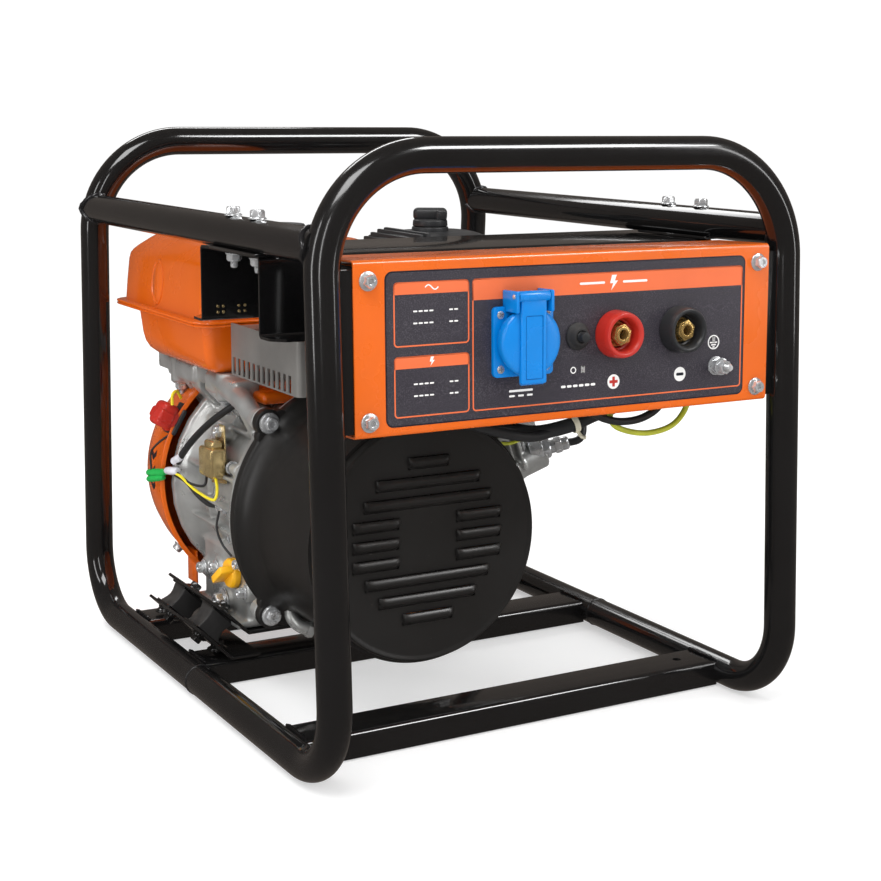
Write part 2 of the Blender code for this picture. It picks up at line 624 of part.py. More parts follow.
def crankshaft():
    """Shaft through the alternator, two webs with the crank pin, and the flywheel taper."""
    front = [(0.0, 0.1470), (0.0100, 0.1470), (0.0100, 0.1335), (0.0147, 0.1335), (0.0147, 0.0400),
             (0.0125, 0.0380), (0.0125, -0.0155), (0.0460, -0.0155), (0.0460, -0.0390),
             (0.0, -0.0390)]
    rear = [(0.0, -0.0640), (0.0460, -0.0640), (0.0460, -0.0870), (0.0125, -0.0870),
            (0.0125, -0.1295), (0.0100, -0.1295), (0.0100, -0.1850), (0.0, -0.1850)]
    shaft = turned("crankshaft", front, FORWARD, "steel", 24, ring=False)
    combine(shaft, turned("crank_rear", rear, FORWARD, steps=24, ring=False), "UNION")
    combine(shaft, rods("crank_pin", [((THROW, 0, -0.035), (THROW, 0, -0.068))], 0.0150, FORWARD,
                        sides=18), "UNION")


def starter():
    """Fan shroud over the flywheel, and the recoil starter behind it."""
    outer = [(0.0, -0.1285), (0.1075, -0.1285), (0.1060, -0.1500), (0.1000, -0.1900),
             (0.0880, -0.2050), (0.0, -0.2050)]
    inner = [(0.0, -0.1200), (0.1058, -0.1200), (0.1058, -0.1285), (0.1044, -0.1500),
             (0.0985, -0.1890), (0.0870, -0.2034), (0.0, -0.2034)]
    shroud = turned("fan_shroud", outer, FORWARD, "orange_paint", 32, ring=False)
    duct = Matrix.Translation((0.0, -BORE_Y, 0.0))
    combine(shroud, boxes("duct_outer", [((0.030, 0.1285, -0.058), (0.120, 0.175, 0.058))],
                          BORE @ duct), "UNION")
    combine(shroud, turned("shroud_inside", inner, FORWARD, steps=32, ring=False))
    combine(shroud, boxes("duct_inside", [((0.030, 0.1200, -0.0565), (0.1185, 0.1735, 0.0565))],
                          BORE @ duct))
    combine(shroud, rods("recoil_opening", [((0, 0, -0.19), (0, 0, -0.22))], 0.064, FORWARD,
                         sides=32))

    dish = [(0.0, -0.2365), (0.0645, -0.2345), (0.0745, -0.2215), (0.0765, -0.2053),
            (0.0780, -0.2053), (0.0760, -0.2225), (0.0660, -0.2362), (0.0, -0.2382)]
    cover = turned("recoil_cover", dish, FORWARD, "orange_paint", 32, ring=False)
    combine(cover, rods("recoil_post", [((0, 0, -0.2085), (0, 0, -0.2372))], 0.0050, FORWARD,
                        sides=16), "UNION")
    groove = [(0.0460, -0.2095), (0.0460, -0.2120), (0.0415, -0.2145), (0.0460, -0.2170),
              (0.0460, -0.2195), (0.0055, -0.2195), (0.0055, -0.2095)]
    turned("recoil_pulley", groove, FORWARD, "black_plastic", 24)

    start = Vector((-0.030, 0.2385, 0.205))
    pull = Vector((0.30, 0.90, 0.316)).normalized()
    across = Vector((-0.725, 0.0, 0.688))
    middle = start + pull * 0.0155
    grip = rods("recoil_grip", [(middle - across * 0.030, middle + across * 0.030)], 0.0080,
                Matrix(), "black_plastic", 16)
    combine(grip, rods("grip_stem", [(start, middle)], 0.0055, sides=14), "UNION")


def fuel_system():
    (left, right), (front, rear) = TANK_X, TANK_Y
    floor, low, high, crown = TANK_Z
    wall, up, down = 0.0016, (0, 0, 1), (0, 0, -1)
    tank = tub("fuel_tank", (left, front, low + 0.002), (right, rear, crown), down, 0.013,
               "orange_paint")
    lower = tub("tank_lower", (left, front, floor), (right, 0.205, low + 0.002), up, 0.012)
    flange = boxes("tank_flange", [((left - 0.008, front - 0.008, low),
                                    (right + 0.008, rear + 0.008, high))])
    inside = tub("tank_inside", (left + wall, front + wall, low + 0.001),
                 (right - wall, rear - wall, crown - wall), down, 0.0116)
    below = tub("tank_inside_lower", (left + wall, front + wall, floor + wall),
                (right - wall, 0.205 - wall, low + 0.003), up, 0.0106)
    combine(tank, flange, "UNION")
    combine(tank, lower, "UNION")
    combine(tank, inside)
    combine(tank, below)
    x, y = CAP_PLACE
    combine(tank, rods("filler_neck", [((x, y, crown - 0.02), (x, y, crown + 0.01))], 0.0190,
                       sides=24))
    lid = [(0.0, crown + 0.0125), (0.0215, crown + 0.0125), (0.0235, crown + 0.0105),
           (0.0235, crown + GAP), (0.0184, crown + GAP), (0.0184, crown - 0.0100),
           (0.0, crown - 0.0100)]
    turned("fuel_cap", lid, Matrix.Translation((x, y, 0.0)), "black_plastic", 28, ring=False)

    (x0, x1), (y0, y1), (z0, z1, z2) = CLEANER_X, CLEANER_Y, CLEANER_Z
    carb = boxes("carburettor", [((0.078, 0.1010, 0.2120), (0.112, 0.1490, 0.2620))],
                 finish="cast_aluminium")
    combine(carb, rods("float_bowl", [((0.095, 0.125, 0.1900), (0.095, 0.125, 0.2130))], 0.0170),
            "UNION")
    combine(carb, rods("intake_elbow", [((0.095, 0.125, 0.2600), (0.095, 0.125, 0.2900))], 0.0150),
            "UNION")
    combine(carb, boxes("filter_plate", [((x0 + 0.002, y0 + 0.002, z0), (x1 - 0.002, y1 - 0.002,
                                                                         z1 - GAP))]), "UNION")
    knob_x, knob_y = KNOB_PLACE
    cleaner = open_box("air_cleaner_cover", (x0, y0, z1), (x1, y1, z2), (0, 0, -1), 0.002,
                       Matrix(), "black_plastic")
    combine(cleaner, rods("knob_hole", [((knob_x, knob_y, z2 - 0.01), (knob_x, knob_y, z2 + 0.01))],
                          0.0036, sides=12))
    knob = turned("air_cleaner_knob", [(0.0, z2 + 0.0070), (0.0150, z2 + 0.0060),
                                       (0.0158, z2 + GAP), (0.0031, z2 + GAP),
                                       (0.0031, z1 + 0.002), (0.0, z1 + 0.002)],
                  Matrix.Translation((knob_x, knob_y, 0.0)), "black_plastic", 24, ring=False)
    wing = boxes("knob_wing", [((-0.0150, -0.0050, z2 + 0.005), (0.0150, 0.0050, z2 + 0.0165))],
                 Matrix.Translation((knob_x, knob_y, 0.0)) @ Matrix.Rotation(-0.50, 4, "Z"))
    round_edges(wing, 0.0040)
    combine(knob, wing, "UNION")


def exhaust():
    """Muffler across the top of the alternator, with its slotted guard."""
    muffler = boxes("muffler", [((-0.146, -0.090, 0.2635), (0.096, 0.018, 0.2995))],
                    finish="steel")
    round_edges(muffler, 0.012)
    combine(muffler, tube("exhaust_pipe", bent_path([(0.080, 0.0055, 0.222),
                                                     (0.080, -0.030, 0.222),
                                                     (0.080, -0.030, 0.272)], [0.018]),
                          0.0110, resolution=4), "UNION")
    inside = boxes("muffler_inside", [((-0.1440, -0.088, 0.2655), (0.094, 0.016, 0.2975))])
    round_edges(inside, 0.0105)
    combine(muffler, inside)
    combine(muffler, rods("tail_hole", [((0.080, -0.070, 0.2815), (0.110, -0.070, 0.2815))],
                          0.0080))
    low, high, left, front = 0.2600, 0.3025, -0.1545, -0.101
    fold = [(left, 0.027, low), (left, front, low), (0.105, front, low), (0.105, 0.010, low)]
    guard = sheet("muffler_guard", fold, (0.0, 0.0, high - low), 0.0012, finish="grey_sheet")
    slots = [((left - 0.01, front + 0.0115 + 0.0098 * i, low + 0.0015),
              (left + 0.01, front + 0.0165 + 0.0098 * i, low + 0.0150)) for i in range(12)]
    combine(guard, boxes("guard_slots", slots))


def lever(name, pivot, length, turn, finish="steel"):
    """Flat lever in the XZ plane with a round boss at its pivot."""
    place = Matrix.Translation(pivot) @ Matrix.Rotation(turn, 4, "Y")
    arm = boxes(name, [((0.0, 0.0, -0.0045), (length, 0.0030, 0.0045))], place, finish)
    combine(arm, rods(name + "_boss", [((0, -GAP / 3, 0), (0, 0.0050, 0))], 0.0075, place,
                      sides=18), "UNION")


def controls():
    """Hand controls of the engine: choke, fuel valve, throttle, stop switch and dipstick."""
    lever("choke_lever", (0.098, 0.1494, 0.247), 0.032, math.radians(-40.0), "black_plastic")
    lever("fuel_valve_lever", (0.102, 0.1494, 0.2205), 0.028, math.radians(20.0),
          "black_plastic")
    lever("throttle_lever", (0.030, 0.1754, 0.196), 0.036, math.radians(-60.0), "black_plastic")

    turn = Matrix.Rotation(math.radians(30.0), 4, "Y")
    place = CRANK @ Matrix.Translation((0.0, 0.1385, 0.0)) @ turn
    knob = boxes("ignition_knob", [((-0.1260, -0.0120, -0.0125), (-0.1080, 0.0120, 0.0125))],
                 place, "red_plastic")
    put_origin(knob, place @ Vector((-0.1080, 0.0, 0.0)))
    round_edges(knob, 0.002, 1)

    left = CRANK_X - 0.078
    plug = [(0.0, 0.0075), (0.0115, 0.0075), (0.0130, 0.0055), (0.0130, GAP), (0.0085, GAP),
            (0.0085, -0.0170), (0.0, -0.0170)]
    stick = turned("oil_dipstick", plug, Matrix.Translation((left, 0.038, 0.088))
                   @ Matrix.Rotation(math.radians(-90.0), 4, "Y"), "yellow_plastic", 20,
                   ring=False)
    wing = boxes("dipstick_wing", [((-0.0035, -0.0125, 0.0060), (0.0035, 0.0125, 0.0180))],
                 stick.matrix_world @ Matrix.Rotation(0.6, 4, "Z"))
    combine(stick, wing, "UNION")


# ---- engine mounts ------------------------------------------------------------------------------
def mounts():
    rise = WING_OUTER - WING_INNER
    fold = [(CRANK_X - WING_OUTER, BASE_Z + rise), (CRANK_X - WING_INNER, BASE_Z),
            (CRANK_X + WING_INNER, BASE_Z), (CRANK_X + WING_OUTER, BASE_Z + rise)]
    front, rear = BASE_Y
    sheet("engine_base_plate", [(x, front, z) for x, z in fold], (0.0, rear - front, 0.0),
          BASE_SHEET, finish="black_paint")

    middle = Vector(((WING_INNER + WING_OUTER) / 2, 0.0, BASE_Z + rise / 2))
    away = Vector((1.0, 0.0, -1.0)).normalized()
    along = Vector((1.0, 0.0, 1.0)).normalized()
    to_block = BASE_SHEET / 2 + GAP + RUBBER / 2
    lower = middle + away * (2 * to_block)
    foot_z = CROSS_TOP + GAP + BASE_SHEET / 2
    for label, side in (("left", -1.0), ("right", 1.0)):
        mirror = Matrix.Translation((CRANK_X, 0.0, 0.0)) @ Matrix.Diagonal((side, 1.0, 1.0, 1.0))
        for number, y in enumerate(RUBBER_Y):
            turn = Matrix.Rotation(math.radians(-45.0 * side), 4, "Y")
            centre = mirror @ (middle + away * to_block + Vector((0.0, y, 0.0)))
            spot = Matrix.Translation(centre) @ turn
            boxes("mount_block_" + label + "_" + ("front", "rear")[number],
                  [((-0.0125, -0.0125, -RUBBER / 2), (0.0125, 0.0125, RUBBER / 2))], spot,
                  "rubber")
        toe = lower - along * ((lower.z - foot_z) / along.z)
        line = [Vector((toe.x - 0.026, 0.0, foot_z)), toe, lower + along * 0.017]
        fold = [mirror @ (point + Vector((0.0, 0.008, 0.0))) for point in line]
        bracket = sheet("lower_bracket_" + label, fold, (0.0, 0.122, 0.0), BASE_SHEET,
                        finish="black_paint")
        strip = [mirror @ Vector((toe.x - 0.025, 0.120, foot_z - BASE_SHEET / 2)),
                 mirror @ Vector((toe.x - 0.003, 0.172, foot_z + BASE_SHEET / 2))]
        corners = (tuple(map(min, *strip)), tuple(map(max, *strip)))
        combine(bracket, boxes("bracket_tail_" + label, [corners]), "UNION")


# ---- wiring -------------------------------------------------------------------------------------
def wiring():
    """Bundle from the alternator into the control box, and the earth lead's loop below it."""
    bundle = [(-0.0012, -0.125, 0.2213), (0.0080, -0.127, 0.2305), (0.035, -0.152, 0.2350),
              (0.060, -0.172, 0.2370), (0.078, -0.188, 0.2470), (0.084, -0.194, 0.2620),
              (0.084, -0.196, 0.2720)]
    tube("output_harness", smooth_path(bundle, 3), 0.0065, "black_plastic")
    lead = [on_panel(0.066, 0.0440, 0.0048), (0.070, -0.202, 0.2420), (0.093, -0.200, 0.2300),
            (0.118, -0.200, 0.2330), (0.134, -0.200, 0.2440), on_panel(0.140, 0.0440, 0.0048)]
    tube("earth_lead", smooth_path(lead, 4), 0.0025, "earth_wire")


frame()
control_panel()
alternator()
engine()
mounts()
wiring()
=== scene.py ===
"""Looks of the engine driven welder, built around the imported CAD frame. Metres, in the CAD frame:
+X to the right of the control panel, +Y towards the recoil starter, +Z up."""
import math
import random

import bmesh
import bpy
from mathutils import Matrix, Vector, noise


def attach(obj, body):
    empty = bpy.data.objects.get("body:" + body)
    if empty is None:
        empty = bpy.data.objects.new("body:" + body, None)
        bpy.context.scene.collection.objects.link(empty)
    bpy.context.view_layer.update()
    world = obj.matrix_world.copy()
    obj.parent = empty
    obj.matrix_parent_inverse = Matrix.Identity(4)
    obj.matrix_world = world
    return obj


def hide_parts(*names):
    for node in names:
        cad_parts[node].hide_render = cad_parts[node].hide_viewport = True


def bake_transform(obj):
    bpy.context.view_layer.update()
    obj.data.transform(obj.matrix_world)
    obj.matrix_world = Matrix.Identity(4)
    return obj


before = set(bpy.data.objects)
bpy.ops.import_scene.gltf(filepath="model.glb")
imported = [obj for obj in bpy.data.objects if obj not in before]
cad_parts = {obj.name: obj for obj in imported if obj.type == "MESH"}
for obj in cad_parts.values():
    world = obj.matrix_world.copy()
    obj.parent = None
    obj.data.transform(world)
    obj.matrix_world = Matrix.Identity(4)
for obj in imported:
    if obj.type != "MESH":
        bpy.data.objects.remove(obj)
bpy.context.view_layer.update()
RANDOM = random.Random(7)
noise.seed_set(7)

def shift(x, y, z):
    return Matrix.Translation((x, y, z))


def rotation(axis, degrees):
    return Matrix.Rotation(math.radians(degrees), 4, axis)


# ---- places shared with the CAD source --------------------------------------------------------
TUBE_R, HALF_WIDTH, HALF_DEPTH, FRAME_TOP, HOOP_LEAN = 0.0125, 0.199, 0.255, 0.457, 0.055
RAIL_Z = 0.385
CROSS_Y = {"front": -0.167, "middle": 0.030, "rear": 0.162}
RAIL_BOLT_Y = (-0.131, -0.087)
CRANK = shift(-0.072, 0.0, 0.1505)
FORWARD = CRANK @ rotation("X", 90.0)
BORE = CRANK @ shift(0.0, 0.052, 0.0) @ rotation("Y", -20.0)
PANEL = shift(0.0, -0.245, 0.255) @ rotation("X", -1.72)
OUTWARD = rotation("X", 90.0)
DEVICE_Z = 0.060
EAR_R, BOSS_R = 0.112, 0.0880          # bolt circles of the flange and of the crankcase cover
FUEL_CAP, CLEANER_KNOB = (-0.075, 0.105), (0.072, 0.100)


# ---- materials --------------------------------------------------------------------------------
def finish(name, colour, rough, metal=0.0, coat=0.0, grain=(900.0, 0.15, 0.00004),
           mottle=(14.0, 0.10), smudge=(22.0, 0.25), hollow_shade_and_grime=None, fleck=None, dust=0.0,
           streak=(1.0, 1.0, 1.0)):
    """Principled material with mottled colour, smudged roughness and a fine bump. grain is the bump's
    scale, strength and height. hollow_shade_and_grime is a darker colour painted into the hollows that
    ambient occlusion finds, with its reach and amount: painted shade, and grime as well where that colour
    is a dirt colour. fleck is a second colour in small specks, dust a pale film on what faces up."""
    mat = bpy.data.materials.new(name)
    mat.use_nodes = True
    nodes, link = mat.node_tree.nodes, mat.node_tree.links.new
    shader = nodes["Principled BSDF"]
    shader.inputs["Metallic"].default_value = metal
    shader.inputs["Coat Weight"].default_value = coat
    shader.inputs["Coat Roughness"].default_value = 0.06
    place = nodes.new("ShaderNodeTexCoord").outputs["Object"]
    if streak != (1.0, 1.0, 1.0):
        stretch = nodes.new("ShaderNodeMapping")
        stretch.inputs["Scale"].default_value = streak
        link(place, stretch.inputs["Vector"])
        place = stretch.outputs["Vector"]

    def cloud(scale, detail=4.0):
        node = nodes.new("ShaderNodeTexNoise")
        node.inputs["Scale"].default_value = scale
        node.inputs["Detail"].default_value = detail
        link(place, node.inputs["Vector"])
        return node.outputs["Fac"]

    def spread(value, low, high, bottom=0.0, top=1.0):
        node = nodes.new("ShaderNodeMapRange")
        for key, number in (("From Min", low), ("From Max", high), ("To Min", bottom),
                            ("To Max", top)):
            node.inputs[key].default_value = number
        link(value, node.inputs["Value"])
        return node.outputs["Result"]

    def blend(amount, first, second):
        node = nodes.new("ShaderNodeMix")
        node.data_type = "RGBA"
        link(amount, node.inputs["Factor"])
        for socket, value in ((node.inputs[6], first), (node.inputs[7], second)):
            if isinstance(value, tuple):
                socket.default_value = (*value, 1.0)
            else:
                link(value, socket)
        return node.outputs[2]

    def times(first, second):
        node = nodes.new("ShaderNodeMath")
        node.operation = "MULTIPLY"
        for socket, value in zip(node.inputs, (first, second)):
            if isinstance(value, float):
                socket.default_value = value
            else:
                link(value, socket)
        return node.outputs["Value"]

    scale, amount = mottle
    darker = tuple(c * (1.0 - amount) for c in colour)
    lighter = tuple(min(1.0, c * (1.0 + amount)) for c in colour)
    tint = blend(spread(cloud(scale), 0.35, 0.65), darker, lighter)
    if fleck:
        second, fleck_scale, cut = fleck
        tint = blend(spread(cloud(fleck_scale, 1.0), cut, cut + 0.06), tint, second)
    rougher = spread(cloud(smudge[0]), 0.35, 0.70, rough * (1.0 - smudge[1]),
                     min(1.0, rough * (1.0 + smudge[1])))
    # Painted shade: a darker colour mixed into the hollows that ambient occlusion finds, standing for
    # grime as well where the colour is a dirt colour.
    if hollow_shade_and_grime:
        shade_and_dirt, reach, strength = hollow_shade_and_grime
        hollow = nodes.new("ShaderNodeAmbientOcclusion")
        hollow.samples = 6
        hollow.inputs["Distance"].default_value = reach
        depth = spread(hollow.outputs["AO"], 0.95, 0.35, 0.0, strength)
        tint = blend(times(depth, spread(cloud(60.0), 0.3, 0.6, 0.4, 1.0)), tint, shade_and_dirt)
    if dust:
        normal = nodes.new("ShaderNodeSeparateXYZ")
        link(nodes.new("ShaderNodeNewGeometry").outputs["Normal"], normal.inputs[0])
        film = times(spread(normal.outputs["Z"], 0.3, 1.0), spread(cloud(120.0), 0.35, 0.8, 0.0,
                                                                   dust))
        tint = blend(film, tint, (0.35, 0.32, 0.28))
    link(tint, shader.inputs["Base Color"])
    link(rougher, shader.inputs["Roughness"])
    bump = nodes.new("ShaderNodeBump")
    bump.inputs["Strength"].default_value = grain[1]
    bump.inputs["Distance"].default_value = grain[2]
    link(cloud(grain[0], 3.0), bump.inputs["Height"])
    link(bump.outputs["Normal"], shader.inputs["Normal"])
    return mat


# Dark grease colour for the hollows: grease dirt there, and painted shade as well.
GREASE_AND_SHADE = (0.035, 0.028, 0.022)
MAT = {
    "black_paint": finish("gloss_black_paint", (0.0055, 0.0054, 0.0056), 0.16, coat=0.6,
                          grain=(160.0, 0.08, 0.00010), smudge=(9.0, 0.35), dust=0.012),
    "orange_paint": finish("orange_paint", (0.70, 0.118, 0.004), 0.27, coat=0.45,
                           grain=(420.0, 0.12, 0.00008), mottle=(9.0, 0.04),
                           hollow_shade_and_grime=(GREASE_AND_SHADE, 0.003, 0.18)),
    "satin_black": finish("satin_black_paint", (0.0120, 0.0112, 0.0107), 0.36,
                          grain=(1100.0, 0.22, 0.00008), smudge=(12.0, 0.18), dust=0.05,
                          fleck=((0.07, 0.065, 0.06), 420.0, 0.79)),
    # Dark colour in the casting's hollows: painted shade, and grime on the casting as well.
    "cast_aluminium": finish("cast_aluminium", (0.60, 0.61, 0.60), 0.38, metal=0.72,
                             grain=(520.0, 0.50, 0.00022), mottle=(26.0, 0.16),
                             smudge=(40.0, 0.35), hollow_shade_and_grime=((0.06, 0.055, 0.048), 0.008, 0.75)),
    "bright_steel": finish("bright_steel", (0.52, 0.51, 0.50), 0.28, metal=1.0,
                           grain=(300.0, 0.2, 0.00004), streak=(1.0, 0.05, 1.0)),
    "stator_core": finish("copper_winding", (0.46, 0.17, 0.07), 0.34, metal=1.0,
                          grain=(700.0, 0.8, 0.0004), streak=(1.0, 0.08, 1.0)),
    "zinc_plate": finish("zinc_plate", (0.74, 0.755, 0.77), 0.24, metal=0.72,
                         grain=(700.0, 0.2, 0.00005), mottle=(160.0, 0.12), smudge=(90.0, 0.4),
                         hollow_shade_and_grime=(GREASE_AND_SHADE, 0.0020, 0.6)),
    "brass": finish("brass", (0.74, 0.50, 0.18), 0.24, metal=0.85, mottle=(120.0, 0.15),
                    hollow_shade_and_grime=(GREASE_AND_SHADE, 0.002, 0.5)),
    "grey_sheet": finish("grey_guard_sheet", (0.27, 0.262, 0.25), 0.46, metal=0.55,
                         grain=(600.0, 0.3, 0.0001), mottle=(20.0, 0.12)),
    "black_plastic": finish("black_plastic", (0.020, 0.021, 0.023), 0.42,
                            grain=(1500.0, 0.35, 0.00007), dust=0.08),
    # Darker blue in the hollows: painted shade.
    "blue_plastic": finish("blue_plastic", (0.0, 0.195, 0.60), 0.30, mottle=(18.0, 0.05),
                           grain=(1300.0, 0.10, 0.00004), hollow_shade_and_grime=((0.0, 0.05, 0.20), 0.002, 0.5)),
    # Darker red in the hollows: painted shade.
    "red_plastic": finish("red_plastic", (0.46, 0.022, 0.014), 0.33, mottle=(30.0, 0.07),
                          hollow_shade_and_grime=((0.12, 0.003, 0.002), 0.003, 0.5)),
    "yellow_plastic": finish("yellow_plastic", (0.92, 0.46, 0.012), 0.36, mottle=(40.0, 0.06)),
    "rubber": finish("black_rubber", (0.022, 0.021, 0.021), 0.62,
                     grain=(900.0, 0.5, 0.0001), dust=0.16),
    "earth_wire": finish("earth_wire", (0.42, 0.44, 0.03), 0.36, mottle=(60.0, 0.12)),
}
LABEL = finish("label_film", (0.031, 0.027, 0.036), 0.40, grain=(2600.0, 0.30, 0.00006),
               mottle=(8.0, 0.05), fleck=((0.075, 0.068, 0.082), 1500.0, 0.56))
LABEL_EDGE = finish("label_edge_ink", (0.008, 0.010, 0.018), 0.36)
LABEL_ORANGE = finish("label_orange_ink", (0.74, 0.140, 0.040), 0.38, mottle=(30.0, 0.03))
LABEL_WHITE = finish("label_white_ink", (0.78, 0.77, 0.75), 0.42, mottle=(60.0, 0.04))
CHROMATE = finish("yellow_chromate", (0.66, 0.50, 0.24), 0.27, metal=0.8, mottle=(70.0, 0.25),
                  hollow_shade_and_grime=(GREASE_AND_SHADE, 0.004, 0.5))
BLACK_WIRE = finish("black_wire", (0.020, 0.020, 0.021), 0.40, grain=(900.0, 0.2, 0.00005))
YELLOW_WIRE = finish("yellow_wire", (0.80, 0.66, 0.02), 0.35, mottle=(90.0, 0.08))
GREEN_BOOT = finish("green_sleeve", (0.01, 0.34, 0.06), 0.32, mottle=(90.0, 0.12))
CLEAR_BOOT = finish("clear_sleeve", (0.56, 0.56, 0.60), 0.18, coat=0.5, mottle=(120.0, 0.15))
TIE = finish("cable_tie", (0.62, 0.58, 0.45), 0.40, mottle=(90.0, 0.08))
WELD = finish("painted_weld", (0.010, 0.010, 0.011), 0.24, coat=0.4,
              grain=(700.0, 0.6, 0.0003))
HOT_STEEL = finish("heat_tinted_steel", (0.30, 0.25, 0.21), 0.42, metal=1.0,
                   mottle=(22.0, 0.35), hollow_shade_and_grime=(GREASE_AND_SHADE, 0.006, 0.5))


# ---- shapes: lists of points and faces --------------------------------------------------------
def moved(shape, matrix):
    return [matrix @ point for point in shape[0]], shape[1]


def joined(*shapes):
    points, faces = [], []
    for shape in shapes:
        start = len(points)
        points += shape[0]
        faces += [[index + start for index in face] for face in shape[1]]
    return points, faces


def from_bmesh(bm):
    bm.verts.index_update()
    shape = ([vert.co.copy() for vert in bm.verts],
             [[vert.index for vert in face.verts] for face in bm.faces])
    bm.free()
    return shape


def to_bmesh(shape):
    bm = bmesh.new()
    verts = [bm.verts.new(point) for point in shape[0]]
    for face in shape[1]:
        bm.faces.new([verts[index] for index in face])
    bmesh.ops.recalc_face_normals(bm, faces=bm.faces)
    bm.normal_update()
    return bm


def softened(shape, width, segments=2, angle=35.0, only=None):
    """The shape with its sharp edges rounded. only picks edges by their middle point."""
    bm = to_bmesh(shape)
    edges = [edge for edge in bm.edges if len(edge.link_faces) == 2
             and edge.calc_face_angle() > math.radians(angle)
             and (only is None or only((edge.verts[0].co + edge.verts[1].co) / 2))]
    bmesh.ops.bevel(bm, geom=edges, offset=width, segments=segments, profile=0.5,
                    affect="EDGES", clamp_overlap=True)
    return from_bmesh(bm)


def box(low, high, width=0.0, segments=2):
    x0, y0, z0 = low
    x1, y1, z1 = high
    points = [Vector((x, y, z)) for x in (x0, x1) for y in (y0, y1) for z in (z0, z1)]
    faces = [[0, 1, 3, 2], [4, 6, 7, 5], [0, 4, 5, 1], [2, 3, 7, 6], [0, 2, 6, 4], [1, 5, 7, 3]]
    return softened((points, faces), width, segments) if width else (points, faces)


def lathe(profile, steps=72):
    """Turns a closed (radius, height) profile about Z. Points at radius 0 are single."""
    points, rings = [], []
    for radius, height in profile:
        if radius < 1e-7:
            rings.append([len(points)] * steps)
            points.append(Vector((0, 0, height)))
        else:
            rings.append(list(range(len(points), len(points) + steps)))
            points += [polar(radius, 2 * math.pi * i / steps, height) for i in range(steps)]
    ring = profile[0][0] > 1e-7 or profile[-1][0] > 1e-7
    pairs = list(zip(rings, rings[1:])) + ([(rings[-1], rings[0])] if ring else [])
    faces = []
    for a, b in pairs:
        for i in range(steps):
            j = (i + 1) % steps
            face = []
            for index in (a[i], a[j], b[j], b[i]):
                if index not in face:
                    face.append(index)
            if len(face) > 2:
                faces.append(face)
    return points, faces


def polar(radius, angle, height=0.0):
    return Vector((radius * math.cos(angle), radius * math.sin(angle), height))


def rounded(profile, radius, steps=4):
    """A (radius, height) profile with each corner off the axis replaced by a small arc."""
    out = []
    for i, corner in enumerate(profile):
        before, after = profile[i - 1], profile[(i + 1) % len(profile)]
        if corner[0] < 1e-7:
            out.append(corner)
            continue
        c, p, n = Vector(corner), Vector(before), Vector(after)
        a, b = c + (p - c) * min(0.45, radius / max((p - c).length, 1e-9)), \
            c + (n - c) * min(0.45, radius / max((n - c).length, 1e-9))
        out += [tuple((a.lerp(c, t)).lerp(c.lerp(b, t), t))
                for t in (k / steps for k in range(steps + 1))]
    return out


def turned(profile, radius, steps=72, arc=4):
    """A turned shape whose corners off the axis are rounded."""
    return lathe(rounded(profile, radius, arc), steps)


def button(radius, top, bottom, corner, steps=72, arc=4):
    """A short round bar with rounded corners."""
    profile = [(0, top), (radius, top), (radius, bottom), (0, bottom)]
    return turned(profile, corner, steps, arc)


def prism(outline, low, high, width=0.0, segments=1):
    """A closed 2D outline in XY, given height along Z."""
    count = len(outline)
    points = [Vector((x, y, z)) for z in (low, high) for x, y in outline]
    faces = [list(range(count))[::-1], list(range(count, 2 * count))]
    faces += [[i, (i + 1) % count, (i + 1) % count + count, i + count] for i in range(count)]
    return softened((points, faces), width, segments, 50.0) if width else (points, faces)


def rect(half_w, half_h, radius, steps=6, at=(0.0, 0.0)):
    """Outline of a rectangle with rounded corners."""
    out = []
    for index, (sx, sy) in enumerate(((1, 1), (-1, 1), (-1, -1), (1, -1))):
        for k in range(steps + 1):
            t = math.pi / 2 * (index + k / steps)
            out.append((at[0] + sx * (half_w - radius) + radius * math.cos(t),
                        at[1] + sy * (half_h - radius) + radius * math.sin(t)))
    return out


def ring_of(outline, inner, low, high):
    """A flat band between two outlines with the same number of points."""
    count = len(outline)
    points = [Vector((x, y, z)) for z in (low, high) for line in (outline, inner) for x, y in line]
    faces = []
    for i in range(count):
        j = (i + 1) % count
        a, b, c, d = 0, count, 2 * count, 3 * count
        faces += [[a + i, b + i, b + j, a + j], [c + i, c + j, d + j, d + i],
                  [a + i, a + j, c + j, c + i], [b + i, d + i, d + j, b + j]]
    return points, faces


def swept(path, radius, sides=16):
    """Round bar along a path. radius may be a function of the share of the way."""
    path = [Vector(point) for point in path]
    count = len(path)
    ahead = [(path[min(i + 1, count - 1)] - path[max(i - 1, 0)]).normalized()
             for i in range(count)]
    side = ahead[0].orthogonal().normalized()
    points, faces = [], []
    for i, (place, way) in enumerate(zip(path, ahead)):
        side = (side - way * side.dot(way)).normalized()
        up = way.cross(side)
        size = radius(i / (count - 1)) if callable(radius) else radius
        for k in range(sides):
            t = 2 * math.pi * k / sides
            points.append(place + (side * math.cos(t) + up * math.sin(t)) * size)
        if i:
            faces += [[(i - 1) * sides + k, (i - 1) * sides + (k + 1) % sides,
                       i * sides + (k + 1) % sides, i * sides + k] for k in range(sides)]
    faces += [list(range(sides))[::-1], [(count - 1) * sides + k for k in range(sides)]]
    return points, faces


